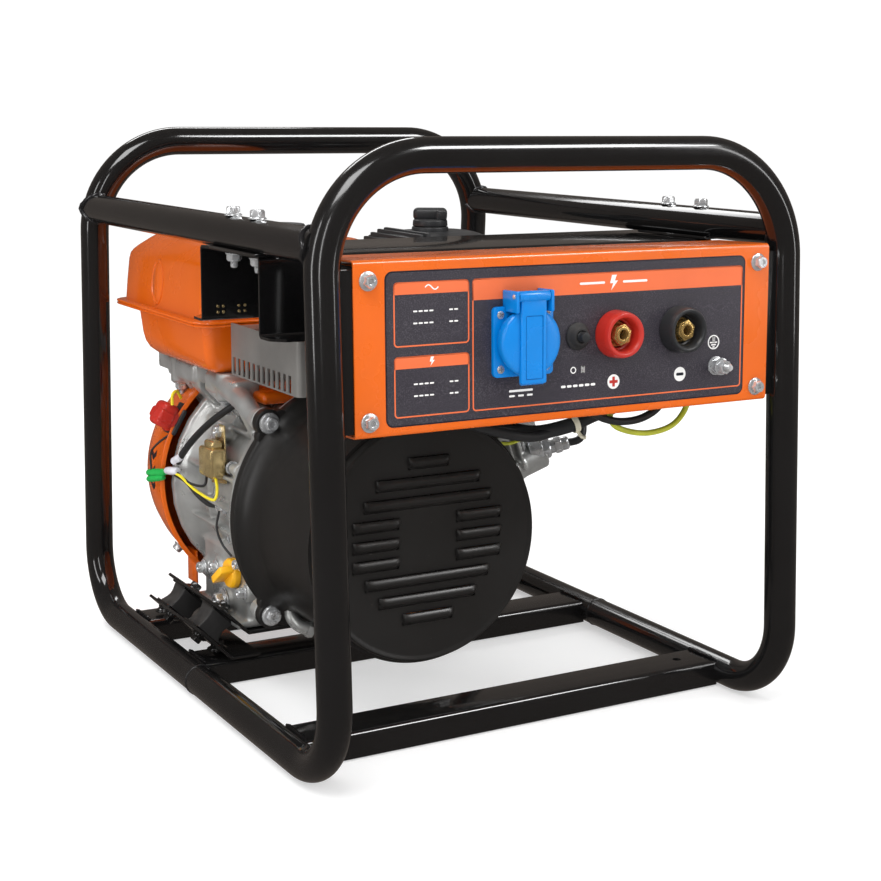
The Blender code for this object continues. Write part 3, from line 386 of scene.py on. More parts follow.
def bent(corners, radii, steps=20):
    """Points along straight runs joined by arcs at the inner corners."""
    path = [Vector(corners[0])]
    for before, corner, after, radius in zip(corners, corners[1:], corners[2:], radii):
        corner = Vector(corner)
        back = (Vector(before) - corner).normalized()
        ahead = (Vector(after) - corner).normalized()
        half = back.angle(ahead) / 2
        if half > 1.57:
            path.append(corner)
            continue
        centre = corner + (back + ahead).normalized() * (radius / math.sin(half))
        first = (corner + back * (radius / math.tan(half)) - centre).normalized()
        last = (corner + ahead * (radius / math.tan(half)) - centre).normalized()
        path += [centre + first.slerp(last, i / steps) * radius for i in range(steps + 1)]
    return path + [Vector(corners[-1])]


def curve(knots, steps=8):
    """Points on a smooth curve through the knots."""
    knots = [Vector(knot) for knot in knots]
    ends = [2 * knots[0] - knots[1]] + knots + [2 * knots[-1] - knots[-2]]
    path = []
    for p0, p1, p2, p3 in zip(ends, ends[1:], ends[2:], ends[3:]):
        for t in (i / steps for i in range(steps)):
            path.append(0.5 * (2 * p1 + (p2 - p0) * t + (2 * p0 - 5 * p1 + 4 * p2 - p3) * t * t
                               + (3 * p1 - p0 - 3 * p2 + p3) * t ** 3))
    return path + [knots[-1]]


def folded(fold, radii, thickness, low, high, ends=None):
    """Sheet metal with rounded bends: a fold line in YZ, given width along X. ends moves an
    end of the sheet inwards by a length that depends on the point's Y."""
    line = [Vector((y, z, 0)) for y, z in fold]
    line = bent(line, radii, 5)
    count = len(line)
    sides = []
    for sign in (1, -1):
        run = []
        for i, point in enumerate(line):
            a = line[i] - line[i - 1] if i else line[1] - line[0]
            b = line[i + 1] - line[i] if i < count - 1 else a
            way = (a.normalized() + b.normalized()).normalized()
            run.append(point + Vector((-way.y, way.x, 0)) * (sign * thickness / 2))
        sides.append(run)
    outline = sides[0] + sides[1][::-1]
    inset = [ends(point.x) if ends else 0.0 for point in outline]
    total = len(outline)
    points = [Vector((low + cut, p.x, p.y)) for p, cut in zip(outline, inset)]
    points += [Vector((high - cut, p.x, p.y)) for p, cut in zip(outline, inset)]
    faces = [[i, (i + 1) % total, (i + 1) % total + total, i + total] for i in range(total)]
    faces += [[start + i, start + i + 1, start + total - 2 - i, start + total - 1 - i]
              for start in (0, total) for i in range(count - 1)]
    return points, faces


def from_node(name, flatten=True):
    """A CAD node's shape with its split corners welded and its flat faces whole."""
    bm = bmesh.new()
    bm.from_mesh(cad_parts[name].data)
    bmesh.ops.remove_doubles(bm, verts=bm.verts, dist=0.00002)
    if flatten:
        bmesh.ops.dissolve_limit(bm, angle_limit=math.radians(0.6), verts=bm.verts,
                                 edges=bm.edges)
    return from_bmesh(bm)


def placed(name, data):
    obj = bpy.data.objects.new(name, data)
    bpy.context.scene.collection.objects.link(obj)
    return obj


def mesh_from(name, shape):
    bm = to_bmesh(shape)
    mesh = bpy.data.meshes.new(name)
    bm.to_mesh(mesh)
    bm.free()
    return mesh


def worked(shape, *steps):
    """Runs modifiers on a shape: each step is a kind and its settings."""
    obj = placed("work", mesh_from("work", shape))
    spare = []
    for kind, settings in steps:
        modifier = obj.modifiers.new(kind, kind)
        for key, value in settings.items():
            if key == "shape":
                key, value = "object", placed("tool", mesh_from("tool", value))
                spare.append(value)
            setattr(modifier, key, value)
    bpy.context.view_layer.update()
    result = obj.evaluated_get(bpy.context.evaluated_depsgraph_get())
    mesh = bpy.data.meshes.new_from_object(result)
    bm = bmesh.new()
    bm.from_mesh(mesh)
    for old in [obj] + spare:
        bpy.data.objects.remove(old)
    bpy.data.meshes.remove(mesh)
    return from_bmesh(bm)


def cut(shape, *tools):
    steps = [("BOOLEAN", {"operation": "DIFFERENCE", "solver": "EXACT", "shape": tool})
             for tool in tools]
    return worked(shape, *steps)


def cast(shape, voxel=0.0014, smooth=4):
    """Melts overlapping shapes into one casting with soft fillets."""
    return worked(shape, ("REMESH", {"mode": "VOXEL", "voxel_size": voxel}),
                  ("SMOOTH", {"factor": 0.5, "iterations": smooth}))


def piece(name, shape, material, body="chassis", replaces=(), sharp=38.0):
    mesh = mesh_from(name, shape)
    mesh.shade_smooth()
    mesh.set_sharp_from_angle(angle=math.radians(sharp))
    obj = placed(name, mesh)
    obj.data.materials.append(MAT[material] if isinstance(material, str) else material)
    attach(obj, body)
    if replaces:
        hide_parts(*replaces)
    return obj


# ---- fasteners --------------------------------------------------------------------------------
def hexagon(across, turn=0.0):
    reach = across / 2 / math.cos(math.pi / 6)
    return [polar(reach, turn + math.pi / 3 * i).xy for i in range(6)]


def hex_head(across, low, high, turn=0.0, dish=0.0):
    """Hexagon with its corners chamfered by a cone, and a dished top if asked."""
    steps, rings = 48, []
    levels = [(low, 1.0, 0.0), (high - 0.12 * across, 1.0, 0.0), (high, 0.0, across * 0.47)]
    if dish:
        levels += [(high, 0.0, dish), (high - dish * 0.55, 0.0, dish * 0.72)]
    points = []
    for height, hexed, round_r in levels:
        start = len(points)
        for i in range(steps):
            t = 2 * math.pi * i / steps
            local = (t % (math.pi / 3)) - math.pi / 6
            radius = round_r if not hexed else (across / 2) / math.cos(local)
            points.append(polar(radius, t + turn, height))
        rings.append(start)
    faces = [[a + i, a + (i + 1) % steps, b + (i + 1) % steps, b + i]
             for a, b in zip(rings, rings[1:]) for i in range(steps)]
    faces += [list(range(steps))[::-1], [rings[-1] + i for i in range(steps)]]
    return points, faces


def flange_bolt(across=0.0085, flange=0.0066, height=0.0062, turn=0.0, dish=0.0021,
                washer=0.0, shank=0.0):
    """Hex flange bolt standing on Z 0, with a washer below it and a shank behind it if asked."""
    skirt = rounded([(0.0, 0.0018), (across * 0.5, 0.0018), (flange * 0.96, 0.0009),
                     (flange, 0.0004), (flange, 0.0), (0.0, 0.0)], 0.0003, 2)
    parts = [lathe(skirt, 36), hex_head(across, 0.0012, height, turn, dish)]
    lift = 0.0
    if washer:
        lift = 0.0012
        parts = [moved(part, shift(0, 0, lift)) for part in parts]
        parts.append(button(washer, lift, 0, 0.0003, 36, 2))
    if shank:
        parts.append(swept([(0, 0, 0.0005), (0, 0, -shank)], across * 0.34, 16))
    return joined(*parts)


def thread(radius, low, high, pitch=0.001):
    profile, z = [(0.0, low)], low
    while z < high - pitch:
        profile += [(radius * 0.88, z), (radius, z + pitch / 2)]
        z += pitch
    return lathe(profile + [(radius * 0.86, z), (radius * 0.70, high), (0.0, high)], 28)


def facing(place, way, spin=0.0):
    """Matrix that puts a shape's Z along a direction at a place."""
    turn = Vector(way).to_track_quat("Z", "Y").to_matrix().to_4x4()
    return Matrix.Translation(place) @ turn @ Matrix.Rotation(spin, 4, "Z")


def bead(path, radius, lumps=0.35):
    """Weld bead: a lumpy bar along a path."""
    path = [Vector(p) for p in path]
    shape = swept(path, lambda t: radius * (0.55 + 0.45 * min(1.0, 8 * t, 8 * (1 - t))), 10)
    return ([p + noise.noise_vector(p * 420.0) * radius * lumps for p in shape[0]], shape[1])


# ---- frame ------------------------------------------------------------------------------------
def post_y(z, end):
    """Y of a hoop's axis at a height."""
    return end * (HALF_DEPTH - HOOP_LEAN * (z - TUBE_R))


def tubes():
    top = FRAME_TOP - TUBE_R
    for label, end in (("front", -1.0), ("rear", 1.0)):
        seam = end * 0.00015
        corners = [(-HALF_WIDTH, seam, TUBE_R), (-HALF_WIDTH, end * HALF_DEPTH, TUBE_R),
                   (-HALF_WIDTH, post_y(top, end), top), (HALF_WIDTH, post_y(top, end), top),
                   (HALF_WIDTH, end * HALF_DEPTH, TUBE_R), (HALF_WIDTH, seam, TUBE_R)]
        path = bent(corners, [0.055, 0.080, 0.080, 0.055], 26)
        piece(label + "_hoop_tube", swept(path, TUBE_R, 48), "black_paint",
              replaces=[label + "_hoop"])
    seams = []
    for label, side in (("left", -1.0), ("right", 1.0)):
        x = side * HALF_WIDTH
        reach = post_y(RAIL_Z, 1.0)
        rail = swept([(x, -reach, RAIL_Z), (x, 0, RAIL_Z), (x, reach, RAIL_Z)], TUBE_R, 48)
        piece("upper_rail_tube_" + label, rail, "black_paint",
              replaces=["upper_rail_" + label])
        for end in (-1.0, 1.0):
            loop = []
            for i in range(33):
                t = 2 * math.pi * i / 32
                z = RAIL_Z + TUBE_R * math.sin(t)
                y = post_y(z, end) - end * (TUBE_R * abs(math.sin(t)) + 0.0004)
                loop.append((x + TUBE_R * math.cos(t) * 1.01, y, z))
            seams.append(bead(loop, 0.0021))
            seams += [bead([(side * 0.1893, y - 0.017 + 0.001 * i, 0.0222) for i in range(35)],
                           0.0020) for y in CROSS_Y.values()]
        seams.append(bead([(x + 0.0123 * math.cos(t), 0.0, 0.0125 + 0.0123 * math.sin(t))
                           for t in (math.pi * i / 12 for i in range(25))], 0.0010, 0.2))
    piece("weld_beads", joined(*seams), WELD, sharp=70.0)


def channel(label, y):
    fold = [(y - 0.019, 0.001), (y - 0.019, 0.0205), (y + 0.019, 0.0205), (y + 0.019, 0.001)]
    bar = folded(fold, [0.0036, 0.0036], 0.002, -0.1905, 0.1905)
    if label == "front":
        bar = cut(bar, *[swept([(x, y, 0.01), (x, y, 0.03)], 0.0035, 24)
                         for x in (-0.163, 0.163)])
    piece(label + "_crossmember_channel", bar, "black_paint",
          replaces=[label + "_crossmember"])


def bridge():
    """Hat-section bridge with chamfered foot corners and embossed spots in its rear leg."""
    fold = [(-0.0040, 0.314), (-0.0130, 0.314), (-0.031, 0.314), (-0.031, 0.371), (-0.141, 0.371),
            (-0.141, 0.314), (-0.158, 0.314), (-0.167, 0.314)]

    def chamfer(y):
        return max(0.0, -0.1575 - y, y + 0.0135)

    hat = folded(fold, [0.001, 0.0028, 0.0028, 0.0028, 0.0028, 0.001], 0.002, -0.203, 0.203,
                 chamfer)
    piece("bridge_hat_section", hat, "black_paint", replaces=["bridge_bracket"])
    spots = [moved(lathe([(0, 0.0007), (0.0009, 0.0005), (0.0014, -0.0004), (0, -0.0004)], 12),
                   facing((x, -0.0321, z), (0, -1, 0)))
             for x in (-0.190, -0.1855, -0.1725, -0.1675) for z in (0.3195, 0.3240)]
    piece("bridge_spot_marks", joined(*spots), CHROMATE)
    tabs = []
    for side in (-1.0, 1.0):
        outline = [(-0.152, -0.0125), (-0.152, 0.0125), (-0.067, 0.0125), (-0.060, 0.0055),
                   (-0.060, -0.0125)]
        tabs.append(([Vector((side * (HALF_WIDTH + b - (0.001 if b > 0 else -0.001)), a, z))
                      for z in (0.3722, 0.3744) for a, b in outline],
                     prism(outline, 0, 1)[1]))
    piece("rail_tab_plates", softened(joined(*tabs), 0.0004, 1), "black_paint")


def rail_bolts():
    for side, x in (("left", -HALF_WIDTH), ("right", HALF_WIDTH)):
        for place, y in zip(("front", "rear"), RAIL_BOLT_Y):
            turn = RANDOM.uniform(0, 1)
            name = "rail_bolt_" + side + "_" + place
            seat = shift(x, y, RAIL_Z + TUBE_R - 0.0002)
            head = flange_bolt(0.0098, 0.0066, 0.0065, turn, 0.0026)
            nut = shift(x, y, 0.3700) @ rotation("X", 180)
            shape = joined(moved(head, seat),
                           moved(flange_bolt(0.0098, 0.0066, 0.0060, turn), nut),
                           moved(thread(0.0029, 0.0, 0.0110), nut))
            piece(name + "_hex", shape, "zinc_plate", replaces=[name])


# ---- control panel ----------------------------------------------------------------------------
def panel():
    steps = [(0.0600, 0.1203), (0.0008, 0.1203), (0.0008, 0.0008), (0.0150, 0.0008)]
    face = folded(steps, [0.0026, 0.0026], 0.0015, -0.179, 0.179)
    piece("control_panel_tray", softened(moved(face, PANEL), 0.0003, 1, 60.0), "orange_paint",
          replaces=["control_panel"])
    piece("control_box_shell", softened(from_node("control_box"), 0.0008, 2), "black_paint",
          replaces=["control_box"])
    stays = []
    for side in (-1.0, 1.0):
        x0, x1 = sorted((side * 0.1570, side * 0.1895))
        stays.append(box((x0, 0.0018, 0.0035), (x1, 0.0040, 0.1150), 0.0007))
        x0, x1 = sorted((side * 0.1870, side * 0.1895))
        stays.append(box((x0, 0.0018, 0.0035), (x1, 0.0160, 0.1150), 0.0007))
    piece("panel_stays", moved(joined(*stays), PANEL), "black_paint")
    bolts = [moved(flange_bolt(0.0086, 0.0068, 0.0062, RANDOM.uniform(0, 1), 0.0025),
                   PANEL @ shift(x, 0.0, z) @ OUTWARD)
             for x in (-0.168, 0.168) for z in (0.011, 0.107)]
    piece("panel_bolts", joined(*bolts), "zinc_plate")
    label()


def on_label(shape, lift=0.0):
    return moved(shape, PANEL @ OUTWARD @ shift(0, 0, lift))


def frame_line(x0, x1, z0, z1, radius, line, low, high):
    at, half = ((x0 + x1) / 2, (z0 + z1) / 2), ((x1 - x0) / 2, (z1 - z0) / 2)
    return ring_of(rect(*half, radius, 6, at),
                   rect(half[0] - line, half[1] - line, max(radius - line, 0.0003), 6, at),
                   low, high)


def band(x0, x1, z0, z1, radius, low, high):
    """Header band: rounded at its two upper corners."""
    outline = [p for p in rect((x1 - x0) / 2, (z1 - z0) / 2, radius, 6,
                               ((x0 + x1) / 2, (z0 + z1) / 2)) if p[1] > (z0 + z1) / 2]
    return prism(outline + [(x0, z0), (x1, z0)], low, high)


def label():
    """Printed label: film, rulings and plain symbols. It has no lettering."""
    film = prism(rect(0.1545, 0.0523, 0.0050, 8, (0, 0.0595)), 0.0, 0.00020)
    edge = prism(rect(0.1555, 0.0533, 0.0058, 8, (0, 0.0595)), 0.0, 0.00012)
    piece("panel_label_edge", on_label(edge), LABEL_EDGE)
    piece("panel_label_film", on_label(film), LABEL)
    low, high = 0.00020, 0.00028
    boxes = ((-0.1490, -0.0895, 0.0610, 0.1052, 0.0085), (-0.1490, -0.0895, 0.0123, 0.0545, 0.0085),
             (-0.0870, 0.1530, 0.0123, 0.1052, 0.0150))
    ink = []
    for x0, x1, z0, z1, header in boxes:
        ink.append(frame_line(x0, x1, z0, z1, 0.0030, 0.0010, low, high))
        ink.append(band(x0, x1, z1 - header, z1, 0.0030, low, high))
    piece("panel_label_rulings", on_label(joined(*ink)), LABEL_ORANGE)
    top = high + 0.00006

    def pill(x, z, length, height):
        return prism(rect(length / 2, height / 2, height * 0.45, 3, (x, z)), low, top)

    def disc(x, z, outer, inner=0.0):
        place = shift(x, z, 0)
        if inner:
            return moved(lathe([(inner, low), (inner, top), (outer, top), (outer, low)], 36), place)
        return moved(lathe([(0, top), (outer, top), (outer, low), (0, low)], 36), place)

    white = []
    for base in (0.0850, 0.0350):
        for row in (0.0, -0.0082):
            white += [pill(-0.1322 + 0.0042 * k - 0.0002 * row, base + row, 0.0032, 0.0011)
                      for k in range(4)]
            white += [pill(-0.1040 + 0.0040 * k, base + row, 0.0030, 0.0011) for k in range(2)]
    wave = [(-0.1192 + 0.0052 * (i / 12 - 1), 0.1010 + 0.0016 * math.sin(2 * math.pi * i / 24))
            for i in range(25)]
    flat = Matrix.Diagonal((1, 1, 0.12, 1))
    white.append(moved(moved(swept([(x, z, 0) for x, z in wave], 0.00045, 8), flat),
                       shift(0, 0, top)))
    bolt = [(-0.0010, 0.0030), (0.0014, 0.0030), (0.0004, 0.0006), (0.0020, 0.0006),
            (-0.0014, -0.0034), (-0.0004, -0.0004), (-0.0020, -0.0004)]
    white.append(prism([(x - 0.1192, z + 0.0503) for x, z in bolt], low, top))
    white += [prism([(x * 1.75 + 0.033, z * 1.75 + 0.0977) for x, z in bolt], low, top),
              pill(0.0140, 0.0977, 0.0220, 0.0017), pill(0.0520, 0.0977, 0.0220, 0.0017)]
    white += [pill(-0.047, 0.0242, 0.0200, 0.0016)]
    white += [pill(-0.0545 + 0.0075 * k, 0.0206, 0.0048, 0.0014) for k in range(3)]
    white += [pill(-0.0108 + 0.0052 * k, 0.0240, 0.0040, 0.0018) for k in range(6)]
    white += [disc(-0.0022, 0.0355, 0.0025, 0.0017), pill(0.0062, 0.0355, 0.0011, 0.0050),
              disc(POSITIVE[0] - 0.0005, 0.0246, 0.0054), disc(MINUS_X, 0.0258, 0.0054),
              disc(0.1262, 0.0480, 0.0055, 0.0046), pill(0.1262, 0.0500, 0.0011, 0.0044),
              pill(0.1262, 0.0478, 0.0070, 0.0010), pill(0.1262, 0.0460, 0.0046, 0.0010),
              pill(0.1262, 0.0443, 0.0022, 0.0010)]
    piece("panel_label_symbols", on_label(joined(*white)), LABEL_WHITE)
    arm, wide = 0.0037, 0.0011
    cross = [(wide, wide), (wide, arm), (-wide, arm), (-wide, wide), (-arm, wide), (-arm, -wide),
             (-wide, -wide), (-wide, -arm), (wide, -arm), (wide, -wide), (arm, -wide), (arm, wide)]
    cross = prism([(x + POSITIVE[0] - 0.0005, z + 0.0246) for x, z in cross], low, top)
    piece("panel_label_plus", on_label(cross, 0.00008), "red_plastic")
    piece("panel_label_minus", on_label(pill(MINUS_X, 0.0258, 0.0070, 0.0022), 0.00008),
          LABEL_EDGE)


POSITIVE, NEGATIVE, SOCKET_X, BREAKER_X = (0.034, DEVICE_Z), (0.092, DEVICE_Z), -0.047, 0.001
MINUS_X = 0.0945


def outward(x, z):
    return PANEL @ shift(x, 0.0, z) @ OUTWARD


def socket_base():
    place = outward(SOCKET_X, DEVICE_Z)
    plate = prism(rect(0.0250, 0.0250, 0.0035, 5), 0.0003, 0.0040, 0.0006, 2)
    collar = turned([(0.0195, -0.0100), (0.0195, 0.0098), (0.0220, 0.0098),
                     (0.0220, -0.0300), (0.0195, -0.0300)], 0.0006, 72)
    well = turned([(0.0, -0.0300), (0.0205, -0.0300), (0.0205, -0.0110), (0.0, -0.0110)], 0.0004, 48)
    well = cut(well, *[swept([(x, 0, -0.035), (x, 0, -0.005)], 0.0025, 20)
                       for x in (-0.0095, 0.0095)])
    ears = [box((s - 0.0012, 0.0212, 0.0003), (s + 0.0012, 0.0365, 0.0200), 0.0010, 3)
            for s in (-0.0144, 0.0144)]
    saddle = box((-0.0135, 0.0205, 0.0003), (0.0135, 0.0310, 0.0090), 0.0010, 2)
    collar = cut(collar, box((-0.03, 0.0206, -0.02), (0.03, 0.05, 0.02)))
    piece("socket_base_shell", moved(joined(plate, collar, well, saddle, *ears), place),
          "blue_plastic", replaces=["socket_base"])


def socket_screws():
    place = outward(SOCKET_X, DEVICE_Z)
    screws = []
    for x in (-0.0192, 0.0192):
        for z in (-0.0192, 0.0192):
            head = turned([(0.0, 0.0052), (0.0016, 0.0051), (0.0029, 0.0044),
                           (0.0029, 0.0038), (0.0, 0.0038)], 0.0002, 28, 2)
            turn = Matrix.Rotation(RANDOM.uniform(0, 1.5), 4, "Z")
            slots = [moved(box((-0.0018, -0.00035, 0.0045), (0.0018, 0.00035, 0.006)),
                           turn @ Matrix.Rotation(spin, 4, "Z")) for spin in (0, math.pi / 2)]
            screws.append(moved(cut(head, *slots), place @ shift(x, z, 0)))
    pins = [moved(turned([(0, 0.0006), (0.0016, 0.0005), (0.0018, 0), (0, 0)], 0.0002, 20, 2),
                  place @ shift(s, 0.0325, 0.016)
                  @ Matrix.Rotation(math.copysign(math.pi / 2, s), 4, "Y"))
            for s in (-0.0156, 0.0156)]
    piece("socket_screws", joined(*screws, *pins), "zinc_plate")


def socket_flap():
    disc = lathe([(0.0, 0.0161), (0.0120, 0.0160), (0.0200, 0.0157), (0.0228, 0.0151),
                  (0.0241, 0.0140), (0.0245, 0.0128), (0.0245, 0.0106), (0.0242, 0.0103),
                  (0.0, 0.0103)], 96)
    bar = box((-0.0106, -0.0292, 0.0135), (0.0106, 0.0320, 0.0182), 0.0016, 4)
    tray = prism(rect(0.0072, 0.0225, 0.0012, 4, (0.0, -0.0035)), 0.0176, 0.0200)
    bar = cut(bar, tray)
    lid = prism(rect(0.0067, 0.0220, 0.0010, 4, (0.0, -0.0035)), 0.0170, 0.0180, 0.0002)
    knuckle = swept([(-0.0128, 0.0325, 0.0160), (0.0128, 0.0325, 0.0160)], 0.0038, 32)
    lip = box((-0.0095, -0.0300, 0.0128), (0.0095, -0.0235, 0.0160), 0.0008, 2)
    flap = joined(disc, bar, lid, lip, softened(knuckle, 0.0005))
    piece("socket_flap_lid", moved(flap, outward(SOCKET_X, DEVICE_Z)),
          "blue_plastic", body="socket_flap", replaces=["socket_flap"])


def breaker():
    place = outward(BREAKER_X, DEVICE_Z)
    boot = lathe([(0.0043, -0.0050), (0.0043, 0.0062), (0.0050, 0.0068), (0.0062, 0.0066),
                  (0.0072, 0.0055), (0.0080, 0.0038), (0.0087, 0.0028), (0.0096, 0.0024),
                  (0.0100, 0.0018), (0.0100, 0.0003), (0.0062, 0.0003), (0.0062, -0.0050)], 64)
    body = box((-0.0150, -0.0170, -0.0400), (0.0150, 0.0170, -0.0019), 0.0012)
    piece("breaker_boot", moved(joined(boot, body), place), "rubber",
          replaces=["breaker_body"])
    cap = turned([(0.0, 0.0125), (0.0036, 0.0122), (0.0039, 0.0088), (0.0032, 0.0080),
                  (0.0034, 0.0070), (0.0039, 0.0064), (0.0039, -0.0050), (0.0, -0.0050)], 0.0004, 48, 3)
    piece("breaker_button_cap", moved(cap, place), "black_plastic", body="breaker_button",
          replaces=["breaker_button"])


def terminals():
    for name, (x, z), material in (("positive", POSITIVE, "red_plastic"),
                                   ("negative", NEGATIVE, "black_plastic")):
        place = outward(x, z)
        cup = rounded([(0.0138, 0.0150), (0.0160, 0.0150), (0.0170, 0.0115), (0.0175, 0.0030),
                       (0.0176, 0.0003), (0.0100, 0.0003), (0.0100, 0.0042), (0.0118, 0.0050),
                       (0.0124, 0.0130)], 0.0008, 4)
        piece(name + "_terminal_cup", moved(lathe(cup, 96), place), material,
              replaces=[name + "_terminal"])
        nut = prism(hexagon(0.0142, 0.3), 0.0006, 0.0110)
        nose = turned([(0.0038, 0.0120), (0.0058, 0.0119), (0.0064, 0.0105), (0.0064, -0.0300),
                       (0.0038, -0.0300)], 0.0004, 48, 3)
        nut = cut(softened(nut, 0.0006, 2), swept([(0, 0, -0.01), (0, 0, 0.03)], 0.0055, 40))
        core = lathe([(0.0, -0.0140), (0.0042, -0.0140), (0.0042, -0.0165), (0.0, -0.0165)], 32)
        collar = turned([(0.0060, 0.0026), (0.0094, 0.0026), (0.0094, 0.0004),
                         (0.0060, 0.0004)], 0.0003, 48, 2)
        piece(name + "_insert_nut", moved(joined(nut, nose, core, collar), place), "brass",
              replaces=[name + "_insert"])


def earth_stud():
    place = outward(0.128, 0.030)
    stud = joined(hex_head(0.0102, 0.0018, 0.0070, 0.3),
                  hex_head(0.0102, 0.0090, 0.0138, 0.75),
                  button(0.0072, 0.0018, 0.0003, 0.0003, 40, 2),
                  button(0.0066, 0.0088, 0.0072, 0.0003, 40, 2),
                  thread(0.0030, -0.0120, 0.0190),
                  hex_head(0.0102, -0.0068, -0.0018))
    piece("earth_stud_nuts", moved(stud, place), "zinc_plate", replaces=["earth_stud"])


# ---- alternator -------------------------------------------------------------------------------
def louvre(left, right, height, low=0.1555):
    """Pressed hood with its opening at the top: a thin shell over one slot of the end cover."""
    rise, tall, across_steps, up_steps = 0.0050, 0.0096, 34, 16
    top = height + 0.0016
    length = right - left + 0.0085
    middle = (left + right) / 2
    points, faces = [], []
    for layer in (0.0, -0.0009):
        for j in range(up_steps + 1):
            v = tall * j / up_steps
            for i in range(across_steps + 1):
                u = -math.cos(math.pi * i / across_steps) * length / 2
                end = max(0.0, abs(u) - (length / 2 - 0.0062)) / 0.0062
                floor = 1.0 - math.sqrt(max(0.0, 1.0 - end * end))
                edge = max(0.0, 1.0 - floor)
                start = floor * 0.0040
                share = max(0.0, min(1.0, (v - start) / 0.0056))
                lift = rise * math.sin(share * math.pi / 2) ** 0.9 * min(1.0, edge ** 0.55)
                lift *= 1.0 - 0.42 * max(0.0, (v - 0.0056) / (tall - 0.0056)) ** 1.8
                points.append(Vector((middle + u, top - tall + v, low + lift + layer)))
    row = across_steps + 1
    layer_size = row * (up_steps + 1)
    for layer in range(2):
        for j in range(up_steps):
            for i in range(across_steps):
                a = layer * layer_size + j * row + i
                faces.append([a, a + 1, a + row + 1, a + row])
    rim = [j * row for j in range(up_steps + 1)] + [up_steps * row + i for i in range(row)] \
        + [j * row + row - 1 for j in range(up_steps, -1, -1)] + [i for i in range(row - 1, -1, -1)]
    for a, b in zip(rim, rim[1:]):
        if a != b:
            faces.append([a, b, b + layer_size, a + layer_size])
    return points, faces


def alternator_housing():
    shell = [(0.0980, 0.149), (0.0980, 0.062), (0.0984, 0.056), (0.0996, 0.0510), (0.1016, 0.0465),
             (0.1040, 0.0425), (0.1062, 0.0400), (0.1085, 0.0386), (0.1100, 0.0380),
             (0.1103, 0.0372), (0.1103, 0.0300), (0.0990, 0.030), (0.0965, 0.046), (0.0950, 0.058),
             (0.0950, 0.149)]
    ears = []
    for i in range(4):
        way = polar(1.0, math.radians(45.0 + 90.0 * i))
        pad = [way * EAR_R + Vector((0, 0, 0.0300)), way * EAR_R + Vector((0, 0, 0.0388))]
        ears.append(softened(swept(pad, 0.0112, 40), 0.0012, 3))
        for bend in (-1, 1):
            side = Matrix.Rotation(bend * 0.085, 3, "Z") @ way * (EAR_R - 0.0062)
            ears.append(softened(swept([side + Vector((0, 0, 0.0300)),
                                        side + Vector((0, 0, 0.0386))], 0.0082, 32), 0.0012, 3))
    hub = lathe([(0.0240, 0.1460), (0.0240, 0.1345), (0.0104, 0.1345), (0.0104, 0.1460)], 48)
    spokes = [moved(swept([(0.020, 0, 0.1395), (0.0965, 0, 0.1395)], 0.0045, 12),
                    rotation("Z", 90.0 + 120.0 * i)) for i in range(3)]
    piece("alternator_housing_shell", moved(joined(lathe(shell, 160), hub, *ears, *spokes),
                                            FORWARD), "satin_black",
          replaces=["alternator_housing"], sharp=50.0)


def louvred_cover():
    lid = [(0.0, 0.1555), (0.0893, 0.1555), (0.0908, 0.1557), (0.0921, 0.1565), (0.0934, 0.1567),
           (0.0945, 0.1560), (0.0950, 0.1545), (0.0950, 0.1475), (0.0935, 0.1475),
           (0.0935, 0.1540), (0.0, 0.1540)]
    half = (0.0135, 0.0410, 0.0510, 0.0, 0.0, 0.0, 0.0500, 0.0385, 0.0180)
    rows = [(0.0656 - 0.0152 * number, [(-reach, reach)] if reach else
             [(-0.0605, -0.0290), (0.0290, 0.0605)]) for number, reach in enumerate(half)]
    slots = [(left, right, z) for z, spans in rows for left, right in spans]
    gaps = joined(*[box((a, z - 0.0052, 0.150), (b, z + 0.0016, 0.160)) for a, b, z in slots])
    hoods = [louvre(a, b, z) for a, b, z in slots]
    piece("alternator_cover_disc", moved(cut(lathe(lid, 160), gaps), FORWARD), "satin_black",
          replaces=["alternator_end_cover"])
    piece("alternator_louvre_hoods", moved(joined(*hoods), FORWARD), "satin_black", sharp=60.0)


def inner_parts():
    """Parts seen through gaps keep their CAD shape, with softened edges."""
    for name, material, body in (("stator", "stator_core", "chassis"),
                                 ("rotor", "bright_steel", "crank_train"),
                                 ("crankshaft", "bright_steel", "crank_train"),
                                 ("flywheel", "cast_aluminium", "crank_train"),
                                 ("rectifier", "cast_aluminium", "chassis"),
                                 ("recoil_pulley", "black_plastic", "recoil_pulley")):
        piece(name + "_skin", softened(from_node(name), 0.0004, 1, 50.0), material, body=body,
              replaces=[name])


# ---- engine -----------------------------------------------------------------------------------
COVER_BOLTS = [math.radians(angle) for angle in (20, 75, 118, 160, 200, 245, 290, 335)]


def at_ear(index, depth, lift=0.0):
    """A place on the bolt circle of the flange. Index 1 is the upper left one."""
    t = math.radians(45.0 + 90.0 * index)
    return FORWARD @ polar(EAR_R + lift, t, depth)


